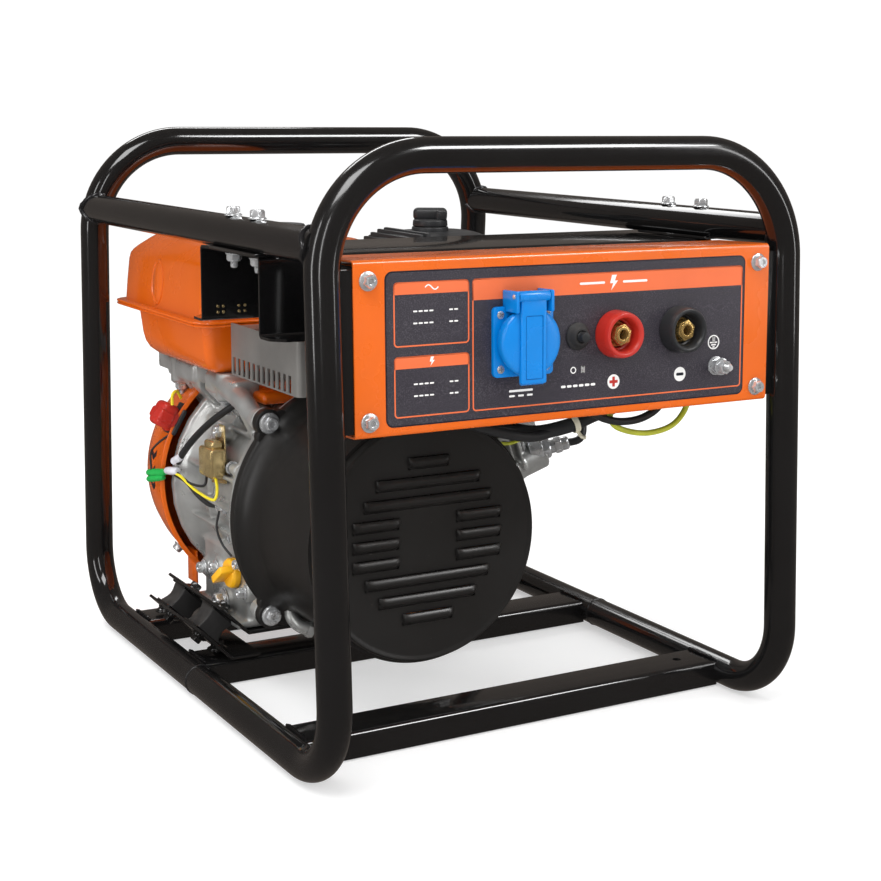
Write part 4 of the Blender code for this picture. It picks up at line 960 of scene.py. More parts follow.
def crankcase_cover():
    rim = turned([(0.1082, 0.0297), (0.1082, 0.0215), (0.0900, 0.0170), (0.0880, 0.0000),
                  (0.0900, -0.0060), (0.0900, -0.0100), (0.0700, -0.0100),
                  (0.0700, 0.0297)], 0.0008, 128, 3)
    ears = [swept([FORWARD.inverted() @ at_ear(i, 0.012), FORWARD.inverted() @ at_ear(i, 0.0297)],
                  lambda t: 0.0078 + 0.0034 * min(1.0, t * 2), 28) for i in range(4)]
    webs = [swept([FORWARD.inverted() @ at_ear(i, -0.006, -0.030),
                   FORWARD.inverted() @ at_ear(i, 0.022, -0.004)], 0.0055, 16) for i in range(4)]
    bosses = [swept([polar(BOSS_R, t, -0.0100), polar(BOSS_R, t, 0.0060)], 0.0070, 20)
              for t in COVER_BOLTS]
    floor = lathe([(0.0800, -0.0100), (0.0800, -0.0040), (0.0135, -0.0040), (0.0135, -0.0100)], 64)
    front = cast(joined(rim, *ears, *webs, *bosses, floor), 0.0013, 3)
    piece("crankcase_cover_casting", moved(front, FORWARD), "cast_aluminium",
          replaces=["crankcase_cover"], sharp=60.0)


def crankcase():
    """The CAD crankcase melted together with its rims, ribs, bosses and tank arm."""
    body = from_node("crankcase", flatten=False)
    extra = [moved(turned([(0.0912, -0.0104), (0.0912, -0.0165), (0.0830, -0.0175),
                           (0.0700, -0.0175), (0.0700, -0.0104)], 0.001, 96, 2), FORWARD)]
    extra += [moved(swept([polar(BOSS_R, t, -0.0104), polar(BOSS_R, t, -0.0300)],
                          lambda s: 0.0070 - 0.0030 * s, 20), FORWARD) for t in COVER_BOLTS]
    for angle in (122, 140, 166, 182, 196, 212, 232):
        t = math.radians(angle)
        rib = box((0.0780, -0.0017, -0.1200), (0.0925, 0.0017, -0.0140), 0.0012)
        extra.append(moved(rib, FORWARD @ Matrix.Rotation(t, 4, "Z")))
    extra.append(moved(turned([(0.0880, -0.0720), (0.0880, -0.0760), (0.0700, -0.0760),
                               (0.0700, -0.0720)], 0.001, 96, 2), FORWARD))
    extra.append(moved(lathe([(0.0840, -0.0900), (0.0862, -0.1000), (0.0925, -0.1120),
                              (0.0985, -0.1190), (0.0700, -0.1190), (0.0700, -0.0900)], 96), FORWARD))
    for y0, y1, z in ((0.020, 0.088, 0.2445), (0.112, 0.176, 0.2470)):
        extra.append(box((-0.1560, y0, z - 0.0080), (-0.1320, y1, z + 0.0100), 0.004, 3))
    extra += [swept([(-0.1480, y, low), (-0.1480, y, 0.2575)], 0.0095, 24)
              for y, low in ((0.054, 0.2335), (0.160, 0.2345))]
    arm = curve([(-0.1450, 0.078, 0.2490), (-0.1490, 0.045, 0.2450), (-0.1515, 0.012, 0.2395),
                 (-0.1512, -0.004, 0.2325), (-0.1500, -0.0155, 0.2285)], 6)
    extra.append(swept(arm, lambda t: 0.0105 - 0.0030 * t, 20))
    extra.append(swept(curve([(-0.1485, 0.030, 0.2420), (-0.1420, 0.024, 0.2250),
                              (-0.1330, 0.022, 0.2050), (-0.1300, 0.022, 0.1950)], 5), 0.0065, 16))
    extra += [swept([(-0.1440, y, 0.2440), (-0.1180, y + 0.004, 0.2050)], 0.0085, 18)
              for y in (0.058, 0.150)]
    side_bosses = ((0.073, 0.0845, 0.0085, -0.1400, -0.1535, 24),
                   (0.101, 0.0778, 0.0085, -0.1400, -0.1535, 24),
                   (0.0122, 0.0775, 0.0085, -0.1400, -0.1535, 24),
                   (0.056, 0.0600, 0.0120, -0.1400, -0.1535, 24),
                   (0.020, 0.1000, 0.0075, -0.1400, -0.1535, 24),
                   (0.038, 0.0880, 0.0145, -0.1400, -0.1503, 32),
                   (0.0484, 0.1452, 0.0095, -0.1400, -0.1540, 24),
                   (0.079, 0.1800, 0.0130, -0.1350, -0.1575, 28),
                   (0.066, 0.2030, 0.0085, -0.1380, -0.1560, 20))
    extra += [swept([(inner, y, z), (outer, y, z)], radius, sides)
              for y, z, radius, inner, outer, sides in side_bosses]
    extra.append(box((-0.1600, 0.0110, 0.0458), (0.0160, 0.1170, 0.0520), 0.002))
    whole = cast(joined(body, *extra), 0.00145, 3)
    piece("crankcase_casting", whole, "cast_aluminium", replaces=["crankcase"], sharp=60.0)


def cylinder_head():
    fins = [moved(box((0.1600 + 0.0085 * i, -0.055, -0.058), (0.1622 + 0.0085 * i, 0.055, 0.058),
                      0.0007), BORE) for i in range(3)]
    head = [softened(from_node("cylinder_head"), 0.0015), *fins,
            moved(box((0.1450, -0.046, -0.0700), (0.1863, 0.030, -0.0450), 0.006, 3), BORE),
            moved(swept([(0.160, -0.040, -0.056), (0.205, -0.043, -0.056)], 0.0120, 24), BORE),
            moved(swept([(0.170, -0.036, -0.012), (0.170, -0.058, -0.012)], 0.0105, 24), BORE)]
    piece("cylinder_head_casting", cast(joined(*head), 0.0013, 2), "cast_aluminium",
          replaces=["cylinder_head"], sharp=60.0)


def rocker_cover():
    cap = joined(box((0.1863, -0.045, -0.062), (0.1895, 0.041, 0.046), 0.0012),
                 box((0.1880, -0.0405, -0.0575), (0.2122, 0.0365, 0.0415), 0.0105, 6),
                 box((0.2100, -0.0200, -0.0250), (0.2126, 0.0200, 0.0250), 0.0012, 2))
    bolts = [moved(flange_bolt(0.0080, 0.0062, 0.0060), BORE @ shift(0.1893, y, z)
                   @ rotation("Y", 90))
             for y, z in ((-0.0425, -0.030), (-0.0425, 0.038), (0.0385, -0.054), (0.0385, 0.038))]
    piece("rocker_cover_pressing", joined(moved(cap, BORE), *bolts), "zinc_plate",
          replaces=["rocker_cover"])


def spark_plug():
    plug = [hex_head(0.0170, 0.0, 0.0075),
            button(0.0105, 0.0002, -0.0120, 0.0006, 36)]
    seat = facing((0.1370, 0.0060, 0.1735), (0.87, -0.42, 0.25))
    piece("spark_plug", moved(joined(*plug), seat), "zinc_plate")
    nose = [turned([(0, 0.0250), (0.0048, 0.0250), (0.0062, 0.0235), (0.0062, 0.0070),
                    (0, 0.0070)], 0.0008, 36, 3),
            hex_head(0.0128, 0.0120, 0.0185, 0.4)]
    piece("spark_plug_shield", moved(joined(*nose), seat), "zinc_plate")


def wrapped(corners, radius_at, lift, steps=(14, 6)):
    """A thin patch on a turned wall, between four (angle, height) corners in degrees and m."""
    points, faces = [], []
    for layer in (lift, -0.0002):
        for j in range(steps[1] + 1):
            for i in range(steps[0] + 1):
                u, v = i / steps[0], j / steps[1]
                angle, height = (Vector(corners[0]).lerp(Vector(corners[1]), u)).lerp(
                    Vector(corners[3]).lerp(Vector(corners[2]), u), v)
                t, radius = math.radians(angle), radius_at(height) + layer
                points.append(FORWARD @ polar(radius, t, height))
    row, size = steps[0] + 1, (steps[0] + 1) * (steps[1] + 1)
    for j in range(steps[1]):
        for i in range(steps[0]):
            a = j * row + i
            faces += [[a, a + 1, a + row + 1, a + row],
                      [size + a, size + a + row, size + a + row + 1, size + a + 1]]
    rim = list(range(row)) + [j * row + row - 1 for j in range(1, steps[1] + 1)] \
        + [steps[1] * row + i for i in range(row - 2, -1, -1)] \
        + [j * row for j in range(steps[1] - 1, 0, -1)]
    faces += [[a, size + a, size + b, b] for a, b in zip(rim, rim[1:] + rim[:1])]
    return points, faces


def shroud_decal():
    """Plain dark chevrons on the starter shroud's left side."""
    def wall(height):
        return 0.1062 - 0.0027 * (-0.150 - height) / 0.022

    marks = []
    for start in (166.0, 173.5, 181.0):
        for sign in (1, -1):
            marks.append(wrapped([(start + 3.4, -0.1625), (start + 6.2, -0.1625),
                                  (start + 6.2 - 2.8, -0.1625 - sign * 0.0085),
                                  (start + 0.6, -0.1625 - sign * 0.0085)], wall, 0.0003, (6, 6)))
    piece("shroud_chevrons", joined(*marks), LABEL_EDGE)


def fan_shroud():
    ring = [(0.1088, -0.1285), (0.1100, -0.1292), (0.1092, -0.1312), (0.1072, -0.1330),
            (0.1062, -0.1500), (0.1035, -0.1720), (0.1000, -0.1890), (0.0965, -0.1960),
            (0.0880, -0.2040), (0.0840, -0.2050), (0.0640, -0.2050), (0.0640, -0.2034),
            (0.0850, -0.2034), (0.0950, -0.1960), (0.0985, -0.1890), (0.1044, -0.1500),
            (0.1060, -0.1285)]
    duct = BORE @ shift(0.0, -0.052, 0.0)
    outer = box((0.098, 0.1290, -0.058), (0.120, 0.1750, 0.058), 0.006, 4)
    hollow = box((0.080, 0.1200, -0.0565), (0.1185, 0.1735, 0.0565), 0.005, 3)
    walls = [box((0.030, 0.1290, s - 0.0008), (0.118, 0.1730, s + 0.0008)) for s in
             (-0.0572, 0.0572)]
    shroud = joined(moved(lathe(ring, 160), FORWARD), moved(cut(outer, hollow), duct),
                    *[moved(wall, duct) for wall in walls])
    piece("fan_shroud_pressing", shroud, "orange_paint", replaces=["fan_shroud"])
    shroud_decal()
    tab = box((-0.1500, 0.1290, 0.0545), (-0.1482, 0.1500, 0.0850), 0.0006)
    piece("shroud_tab", tab, "orange_paint")
    cowl = box((-0.1400, -0.0020, 0.2370), (-0.0700, 0.0660, 0.2460), 0.004, 3)
    side = box((-0.0720, 0.0000, 0.2330), (0.0240, 0.0640, 0.2420), 0.004, 3)
    piece("cylinder_cowl", joined(cowl, side), "orange_paint")


def recoil_cover():
    dish = [(0.0, -0.2382), (0.0280, -0.2380), (0.0560, -0.2372), (0.0660, -0.2355),
            (0.0715, -0.2310), (0.0745, -0.2225), (0.0768, -0.2070), (0.0790, -0.2062),
            (0.0790, -0.2051), (0.0757, -0.2051), (0.0728, -0.2225), (0.0700, -0.2295),
            (0.0640, -0.2338), (0.0, -0.2365)]
    gaps = [moved(prism(rect(0.0105, 0.0022, 0.0021, 4, (0.0450, 0.0)), -0.2420, -0.2300),
                  Matrix.Rotation(math.pi * 2 * i / 18, 4, "Z")) for i in range(18)
            if i not in (0, 1, 2)]
    gaps += [moved(prism(rect(0.0022, 0.0060, 0.0021, 4, (0.0, 0.0)), 0.0680, 0.0800),
                   Matrix.Rotation(math.pi * 2 * i / 16, 4, "Z")
                   @ shift(0, 0, -0.2150) @ rotation("Y", 90))
             for i in range(16)]
    cover = cut(lathe(dish, 144), joined(*gaps))
    emblem = moved(turned([(0, 0.0008), (0.0200, 0.0008), (0.0215, 0.0), (0, 0.0)], 0.0004, 72, 2),
                   shift(0, 0, -0.2380) @ rotation("X", 180))
    piece("recoil_cover_pressing", moved(joined(cover, emblem), FORWARD), "orange_paint",
          replaces=["recoil_cover"])


def starter_bolts():
    feet = [moved(flange_bolt(0.0078, 0.0060, 0.0055), FORWARD
                  @ rotation("Z", 30 + 120 * i)
                  @ shift(0.0820, 0, -0.2050) @ rotation("X", 180))
            for i in range(3)]
    feet += [moved(flange_bolt(0.0078, 0.0060, 0.0055), FORWARD
                   @ rotation("Z", angle)
                   @ shift(0.1045, 0, -0.1700)
                   @ rotation("Y", 90)) for angle in (150, 222)]
    piece("starter_bolts", joined(*feet), "zinc_plate")


def recoil_handle():
    """The grip, and the rope that it draws out of the cover."""
    start = Vector((-0.030, 0.2385, 0.205))
    pull = Vector((0.30, 0.90, 0.316)).normalized()
    across = Vector((-0.725, 0.0, 0.688))
    middle = start + pull * 0.0155
    bar = swept([middle + across * (0.030 * t) for t in (-1, -0.97, -0.9, -0.5, 0, 0.5, 0.9, 0.97, 1)],
                lambda t: 0.0078 * (1 - 0.10 * math.cos(2 * math.pi * t) ** 2
                                    - (0.28 if min(t, 1 - t) < 0.01 else 0.0)), 36)
    stem = swept([start, start + pull * 0.008, middle], lambda t: 0.0050 + 0.0012 * t, 28)
    piece("recoil_handle", joined(softened(bar, 0.0015, 3), stem), "black_plastic",
          body="recoil_grip", replaces=["recoil_grip"], sharp=50.0)
    inner = start - pull * 0.012
    rope = [inner.lerp(start + pull * 0.004, i / 40) for i in range(41)]
    cord = placed("starter_rope", mesh_from("starter_rope", swept(rope, 0.0020, 12)))
    cord.data.shade_smooth()
    cord.data.materials.append(TIE)
    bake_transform(cord)


def loft(outlines):
    """Skin over closed outlines with the same number of points, with both ends closed."""
    count = len(outlines[0])
    points = [Vector(p) for line in outlines for p in line]
    faces = [[a * count + i, a * count + (i + 1) % count, (a + 1) * count + (i + 1) % count,
              (a + 1) * count + i] for a in range(len(outlines) - 1) for i in range(count)]
    last = (len(outlines) - 1) * count
    return points, faces + [list(range(count))[::-1], [last + i for i in range(count)]]


def layered(x, y, levels, steps=8):
    """Loft of rounded rectangles: each level is a height, an inset and a corner radius."""
    centre = ((x[0] + x[1]) / 2, (y[0] + y[1]) / 2)
    half = ((x[1] - x[0]) / 2, (y[1] - y[0]) / 2)
    return loft([[(a, b, z) for a, b in rect(half[0] - inset, half[1] - inset, radius, steps,
                                             centre)] for z, inset, radius in levels])


def tank():
    x, y = (-0.175, 0.008), (0.037, 0.235)
    upper = layered(x, y, [(0.3025, 0.0, 0.012), (0.3200, 0.0012, 0.012), (0.3400, 0.0030, 0.012),
                           (0.3455, 0.0042, 0.012), (0.3490, 0.0062, 0.013), (0.3530, 0.0100, 0.014),
                           (0.3595, 0.0170, 0.017), (0.3622, 0.0205, 0.018), (0.3636, 0.0245, 0.020),
                           (0.3642, 0.0310, 0.020)])
    lower = layered(x, (y[0], 0.205), [(0.2550, 0.0300, 0.008), (0.2556, 0.0220, 0.008),
                                       (0.2580, 0.0150, 0.008), (0.2630, 0.0090, 0.008),
                                       (0.2690, 0.0060, 0.008), (0.2760, 0.0045, 0.008),
                                       (0.2990, 0.0020, 0.009)])
    seam = layered((x[0] - 0.008, x[1] + 0.008), (y[0] - 0.008, y[1] + 0.008),
                   [(0.2985, 0.0010, 0.018), (0.2990, 0.0002, 0.018), (0.2998, 0.0, 0.018),
                    (0.3008, 0.0010, 0.018), (0.3016, 0.0, 0.018), (0.3026, 0.0002, 0.018),
                    (0.3030, 0.0010, 0.018)])
    oval = [(0.0, 0.0016), (0.70, 0.0016), (0.78, 0.0010), (0.84, 0.0008), (0.90, 0.0016),
            (0.96, 0.0014), (1.0, 0.0), (0.0, 0.0)]
    oval = moved(lathe(oval, 64), shift(-0.1727, 0.146, 0.3255)
                 @ rotation("Y", -85.2)
                 @ Matrix.Diagonal((0.0200, 0.0140, 1, 1)))
    neck = moved(turned([(0.0185, -0.004), (0.0185, 0.0010), (0.0262, 0.0006),
                         (0.0285, -0.0004), (0.0285, -0.004)], 0.0005, 72),
                 shift(*FUEL_CAP, 0.3640))
    piece("fuel_tank_shell", joined(upper, lower, seam, oval, neck), "orange_paint",
          replaces=["fuel_tank"], sharp=32.0)


def fuel_cap():
    crown = 0.3640
    lid = turned([(0, crown + 0.0122), (0.0120, crown + 0.0125), (0.0208, crown + 0.0120),
                  (0.0222, crown + 0.0095), (0.0222, crown + 0.0006),
                  (0.0184, crown + 0.0006), (0.0184, crown - 0.0100), (0, crown - 0.0100)], 0.0007, 96, 3)
    grips = [moved(box((0.0212, -0.0009, crown + 0.0010), (0.0235, 0.0009, crown + 0.0100), 0.0007),
                   Matrix.Rotation(math.pi * 2 * i / 28, 4, "Z")) for i in range(28)]
    piece("fuel_cap_lid", moved(joined(lid, *grips), shift(*FUEL_CAP, 0)),
          "black_plastic", body="fuel_cap", replaces=["fuel_cap"])


def air_cleaner():
    x, y = (0.018, 0.140), (0.048, 0.158)
    body = layered(x, y, [(0.2999, 0.0004, 0.016), (0.3350, 0.0010, 0.016), (0.3470, 0.0020, 0.017),
                          (0.3520, 0.0040, 0.018), (0.3560, 0.0080, 0.020), (0.3592, 0.0135, 0.022),
                          (0.3622, 0.0200, 0.022), (0.3648, 0.0265, 0.020), (0.3658, 0.0310, 0.018)])
    lip = layered(x, y, [(0.2997, 0.0, 0.017), (0.3035, 0.0, 0.017), (0.3040, 0.0012, 0.016)])
    ribs = [box((0.0190 + 0.0070 * i, 0.062, 0.3440), (0.0235 + 0.0070 * i, 0.144, crest), 0.0011)
            for i, crest in enumerate((0.3545, 0.3596, 0.3630, 0.3657, 0.3670))]
    ribs += [box((0.0340, y0, 0.3500), (0.1230, y0 + 0.0028, 0.3600), 0.0009)
             for y0 in (0.0560, 0.0640, 0.1390, 0.1470)]
    seat = moved(turned([(0, 0.3698), (0.0165, 0.3698), (0.0172, 0.3640), (0, 0.3640)], 0.0008, 72, 3),
                 shift(*CLEANER_KNOB, 0))
    piece("air_cleaner_housing", joined(body, lip, seat, *ribs), "black_plastic",
          replaces=["air_cleaner_cover"], sharp=34.0)


def air_cleaner_knob():
    base = turned([(0, 0.3768), (0.0140, 0.3766), (0.0156, 0.3755), (0.0160, 0.3704),
                   (0.0031, 0.3704), (0.0031, 0.3030), (0, 0.3030)], 0.0006, 72, 3)
    grip = joined(prism(rect(0.0155, 0.0056, 0.0050, 8), 0.3750, 0.3868, 0.0044, 6),
                  prism(rect(0.0050, 0.0090, 0.0030, 6, (0.0100, -0.0010)), 0.3755, 0.3850,
                        0.0018, 3))
    turn = shift(*CLEANER_KNOB, 0) @ Matrix.Rotation(-0.50, 4, "Z")
    piece("air_cleaner_wing_knob", moved(joined(base, grip), turn), "black_plastic",
          body="air_cleaner_knob", replaces=["air_cleaner_knob"])


def carburettor():
    details = [softened(from_node("carburettor"), 0.0008, 1, 50.0),
               box((0.0760, 0.1085, 0.2080), (0.1140, 0.1130, 0.2130), 0.001),
               swept([(0.078, 0.112, 0.240), (0.070, 0.112, 0.240)], 0.0065, 20),
               swept([(0.095, 0.105, 0.235), (0.095, 0.088, 0.232)], 0.0120, 28),
               swept([(0.112, 0.120, 0.225), (0.120, 0.120, 0.225)], 0.0045, 16)]
    piece("carburettor_casting", cast(joined(*details), 0.0011, 2), "cast_aluminium",
          replaces=["carburettor"], sharp=60.0)


def exhaust():
    piece("muffler_box", softened(from_node("muffler"), 0.0010, 2, 50.0), HOT_STEEL,
          replaces=["muffler"])
    fold = [(-0.1545, 0.027), (-0.1545, -0.101), (0.105, -0.101), (0.105, 0.010)]
    wall = folded([(a, b) for a, b in fold], [0.0040, 0.0040], 0.0012, 0.2600, 0.3025)
    upright = Matrix(((0, 1, 0, 0), (0, 0, 1, 0), (1, 0, 0, 0), (0, 0, 0, 1)))
    slots = [box((-0.165, -0.0895 + 0.0098 * i, 0.2615), (-0.145, -0.0845 + 0.0098 * i, 0.2750))
             for i in range(12)]
    slots += [box((-0.130 + 0.0125 * i, -0.11, 0.2660), (-0.124 + 0.0125 * i, -0.09, 0.2800))
              for i in range(18)]
    wall = cut(moved(wall, upright), joined(*slots))
    rim = box((-0.1545, -0.0995, 0.3013), (0.1045, 0.0100, 0.3024), 0.0004)
    hole = box((-0.1350, -0.0820, 0.29), (0.0880, -0.0010, 0.31))
    piece("muffler_guard_sheet", joined(wall, cut(rim, hole)), "grey_sheet",
          replaces=["muffler_guard"])


def lever_shape(pivot, length, turn):
    arm = prism([(-0.0045, -0.0050), (length * 0.7, -0.0040), (length, -0.0062), (length, 0.0062),
                 (length * 0.7, 0.0040), (-0.0045, 0.0050)], 0.0, 0.0030, 0.0009, 2)
    boss = turned([(0, 0.0050), (0.0075, 0.0050), (0.0078, -0.0001), (0, -0.0001)], 0.0008, 40, 3)
    flat = Matrix.Translation(pivot) @ Matrix.Rotation(turn, 4, "Y") @ Matrix.Rotation(
        -math.pi / 2, 4, "X")
    return moved(joined(arm, boss), flat)


def levers():
    for name, pivot, length, turn in (
            ("choke_lever", (0.098, 0.1494, 0.247), 0.032, -40.0),
            ("fuel_valve_lever", (0.102, 0.1494, 0.2205), 0.028, 20.0),
            ("throttle_lever", (0.030, 0.1754, 0.196), 0.036, -60.0)):
        piece(name + "_arm", lever_shape(pivot, length, math.radians(turn)), "black_plastic",
              body=name, replaces=[name])


def ignition_switch():
    place = CRANK @ shift(0, 0.1385, 0) @ rotation("Y", 30)
    knob = joined(box((-0.1255, -0.0112, -0.0105), (-0.1095, 0.0112, 0.0118), 0.0048, 5),
                  box((-0.1262, -0.0125, -0.0060), (-0.1110, 0.0125, 0.0050), 0.0030, 4),
                  moved(turned([(0, 0.0040), (0.0112, 0.0040), (0.0118, 0), (0, 0)], 0.0006, 48),
                        shift(-0.1118, 0, 0)
                        @ rotation("Y", 90)))
    piece("ignition_switch_knob", moved(knob, place), "red_plastic", body="ignition_knob",
          replaces=["ignition_knob"])
    base = joined(box((-0.1078, -0.0115, -0.0125), (-0.1030, 0.0115, 0.0125), 0.0020, 3),
                  box((-0.1095, -0.0060, 0.0100), (-0.1040, 0.0020, 0.0170), 0.0010, 2))
    piece("ignition_switch_base", moved(base, place), "black_plastic")


def oil_dipstick():
    left = shift(-0.150, 0.038, 0.088) @ rotation("Y", -90)
    stick = turned([(0, 0.0078), (0.0112, 0.0078), (0.0130, 0.0052), (0.0130, 0.0003),
                    (0.0085, 0.0003), (0.0085, -0.0170), (0, -0.0170)], 0.0007, 56, 3)
    wing = prism(rect(0.0033, 0.0124, 0.0016, 3), 0.0050, 0.0180, 0.0012, 2)
    piece("oil_dipstick_cap", moved(joined(stick, moved(wing, Matrix.Rotation(0.6, 4, "Z"))), left),
          "yellow_plastic", body="oil_dipstick", replaces=["oil_dipstick"])


def mounts():
    for name in ("engine_base_plate", "lower_bracket_left", "lower_bracket_right"):
        piece(name + "_pressing", softened(from_node(name), 0.0007, 2), "black_paint",
              replaces=[name])
    middle = Vector((0.09225, 0.0, 0.056))
    away = Vector((1.0, 0.0, -1.0)).normalized()
    plates, bolts = [], []
    for label, side in (("left", -1.0), ("right", 1.0)):
        mirror = shift(-0.072, 0, 0) @ Matrix.Diagonal((side, 1, 1, 1))
        for number, y in enumerate((0.040, 0.105)):
            centre = mirror @ (middle + away * 0.01255 + Vector((0, y, 0)))
            spot = Matrix.Translation(centre) @ rotation("Y", -45 * side)
            rings = [[(a, b, z) for a, b in rect(0.0124 - dip, 0.0124 - dip, 0.0016, 4)]
                     for z, dip in ((-0.0108, 0.0), (-0.0085, 0.0003), (-0.004, 0.0016),
                                    (0.0, 0.0021), (0.004, 0.0016), (0.0085, 0.0003),
                                    (0.0108, 0.0))]
            name = "mount_block_%s_%s" % (label, ("front", "rear")[number])
            piece(name + "_rubber", moved(loft(rings), spot), "rubber", replaces=[name])
            plates += [moved(prism(rect(0.0152, 0.0138, 0.002, 4), z, z + 0.0016, 0.0003), spot)
                       for z in (-0.0112, 0.0096)]
            bolts += [moved(flange_bolt(0.0088, 0.0068, 0.0056, 0.4, 0.0, 0.0078),
                            spot @ shift(0, 0, 0.0142)),
                      moved(flange_bolt(0.0088, 0.0068, 0.0056, 0.1, 0.0, 0.0078),
                            spot @ shift(0, 0, -0.0140)
                            @ rotation("X", 180))]
    piece("mount_plates", joined(*plates), "black_paint")
    feet = [(-0.1700, 0.033, 0.0246), (0.0262, 0.033, 0.0246), (-0.1700, 0.158, 0.0246),
            (0.0262, 0.158, 0.0246)]
    bolts += [moved(flange_bolt(0.0096, 0.0074, 0.0070, 0.5, 0.0, 0.0086), Matrix.Translation(p))
              for p in feet]
    piece("mount_bolts", joined(*bolts), MAT["black_paint"])


def engine_fasteners():
    """Zinc bolts of the flange, the crankcase and the tank brackets."""
    out = Vector((0, -1, 0))
    bolts = []
    for i in range(4):
        bolts.append(moved(flange_bolt(0.0100, 0.0080, 0.0068, RANDOM.uniform(0, 1), 0.0026,
                                       0.0086, 0.006), facing(at_ear(i, 0.0386), out)))
    for y, z, size in ((0.073, 0.0845, 0.0085), (0.101, 0.0778, 0.0085), (0.0122, 0.0775, 0.0082),
                       (0.020, 0.1000, 0.0075)):
        bolts.append(moved(flange_bolt(size, size * 0.78, 0.0062, y * 30, 0.0020),
                           facing((-0.1535, y, z), (-1, 0, 0))))
    bolts.append(moved(flange_bolt(0.0120, 0.0092, 0.0080, 0.2, 0.0030, 0.0108),
                       facing((-0.1535, 0.056, 0.0600), (-1, 0, 0))))
    for y, low in ((0.054, 0.2335), (0.160, 0.2345)):
        bolts.append(moved(joined(flange_bolt(0.0100, 0.0082, 0.0068, 0.3),
                                  thread(0.0029, 0.0, 0.0120)),
                           facing((-0.1480, y, low), (0, 0, -1))))
    for t in (math.radians(angle) for angle in (118, 160, 200, 245)):
        place = FORWARD @ polar(BOSS_R, t, -0.0300)
        bolts.append(moved(flange_bolt(0.0078, 0.0058, 0.0056, t), facing(place, (0, 1, 0))))
    bolts.append(moved(flange_bolt(0.0090, 0.0072, 0.0058, 0.3, 0.002, 0.0080),
                       facing((-0.1550, 0.0484, 0.1452), (-1, 0, 0))))
    bolts.append(moved(flange_bolt(0.0086, 0.0068, 0.0058, 0.1, 0.002),
                       facing((-0.1565, 0.050, 0.2085), (-1, 0, 0))))
    piece("engine_bolts", joined(*bolts), "zinc_plate")


def drain_elbow():
    elbow = curve([(-0.1230, -0.034, 0.0900), (-0.1330, -0.040, 0.0800), (-0.1370, -0.046, 0.0715),
                   (-0.1330, -0.052, 0.0640), (-0.1240, -0.056, 0.0600)], 6)
    drain = joined(swept(elbow, 0.0056, 24),
                   moved(hex_head(0.0140, 0.0, 0.0060, 0.2), facing((-0.1290, -0.038, 0.0845),
                                                                    (-0.5, -0.3, -0.5))),
                   moved(hex_head(0.0130, 0.0, 0.0052, 0.5), facing((-0.1262, -0.0548, 0.0612),
                                                                    (0.75, -0.3, -0.35))))
    piece("drain_elbow", drain, "cast_aluminium")


def oil_alert_unit():
    unit = joined(box((-0.1725, 0.0340, 0.1710), (-0.1580, 0.0620, 0.1965), 0.0032, 4),
                  box((-0.1700, 0.0380, 0.1950), (-0.1590, 0.0560, 0.2025), 0.0030, 3),
                  moved(prism([(-0.0110, -0.0160), (0.0200, -0.0210), (0.0200, 0.0060),
                               (0.0020, 0.0330), (-0.0090, 0.0330)], 0.0, 0.0014, 0.0004),
                        Matrix(((0, 0, -1, -0.1565), (1, 0, 0, 0.0480), (0, 1, 0, 0.1820),
                                (0, 0, 0, 1)))))
    piece("oil_alert_unit", unit, CHROMATE)


def wire(name, knots, radius, material, replaces=(), steps=8):
    """A wire between two places of the object, along a smooth curve through the knots."""
    path = curve(knots, steps)
    obj = piece(name, swept(path, radius, 14), material, replaces=replaces, sharp=80.0)
    return obj


def panel_wires():
    wire("output_harness_bundle", [(-0.0012, -0.125, 0.2213), (0.0030, -0.142, 0.2290),
                                   (0.0200, -0.163, 0.2285), (0.0460, -0.170, 0.2330),
                                   (0.0640, -0.174, 0.2400), (0.0780, -0.188, 0.2500),
                                   (0.0840, -0.194, 0.2620), (0.084, -0.196, 0.2720)], 0.0058,
         "black_plastic", ["output_harness"])
    wire("engine_wire_bundle", [(-0.0700, -0.150, 0.2480), (-0.0480, -0.162, 0.2430),
                                (-0.0300, -0.168, 0.2370), (-0.0080, -0.170, 0.2305),
                                (0.0130, -0.169, 0.2270), (0.0330, -0.168, 0.2290)], 0.0042,
         BLACK_WIRE)
    wire("engine_wire_yellow", [(-0.0300, -0.138, 0.2440), (-0.0140, -0.136, 0.2280),
                                (0.0010, -0.135, 0.2180), (0.0130, -0.135, 0.2155),
                                (0.0265, -0.136, 0.2190), (0.0340, -0.145, 0.2260)], 0.0014,
         "earth_wire")
    wire("earth_lead_loop", [PANEL @ Vector((0.062, 0.0440, 0.0048)), (0.064, -0.201, 0.2400),
                             (0.078, -0.200, 0.2315), (0.100, -0.200, 0.2275),
                             (0.122, -0.200, 0.2310), (0.135, -0.200, 0.2420),
                             PANEL @ Vector((0.140, 0.0440, 0.0048))],
         0.0023, "earth_wire", ["earth_lead"])
    wire("second_output_lead", [PANEL @ Vector((0.040, 0.0400, 0.0048)), (0.045, -0.2060, 0.2480),
                                (0.064, -0.2070, 0.2410), (0.086, -0.2070, 0.2410),
                                (0.104, -0.2060, 0.2480), PANEL @ Vector((0.109, 0.0400, 0.0048))],
         0.0030, BLACK_WIRE)


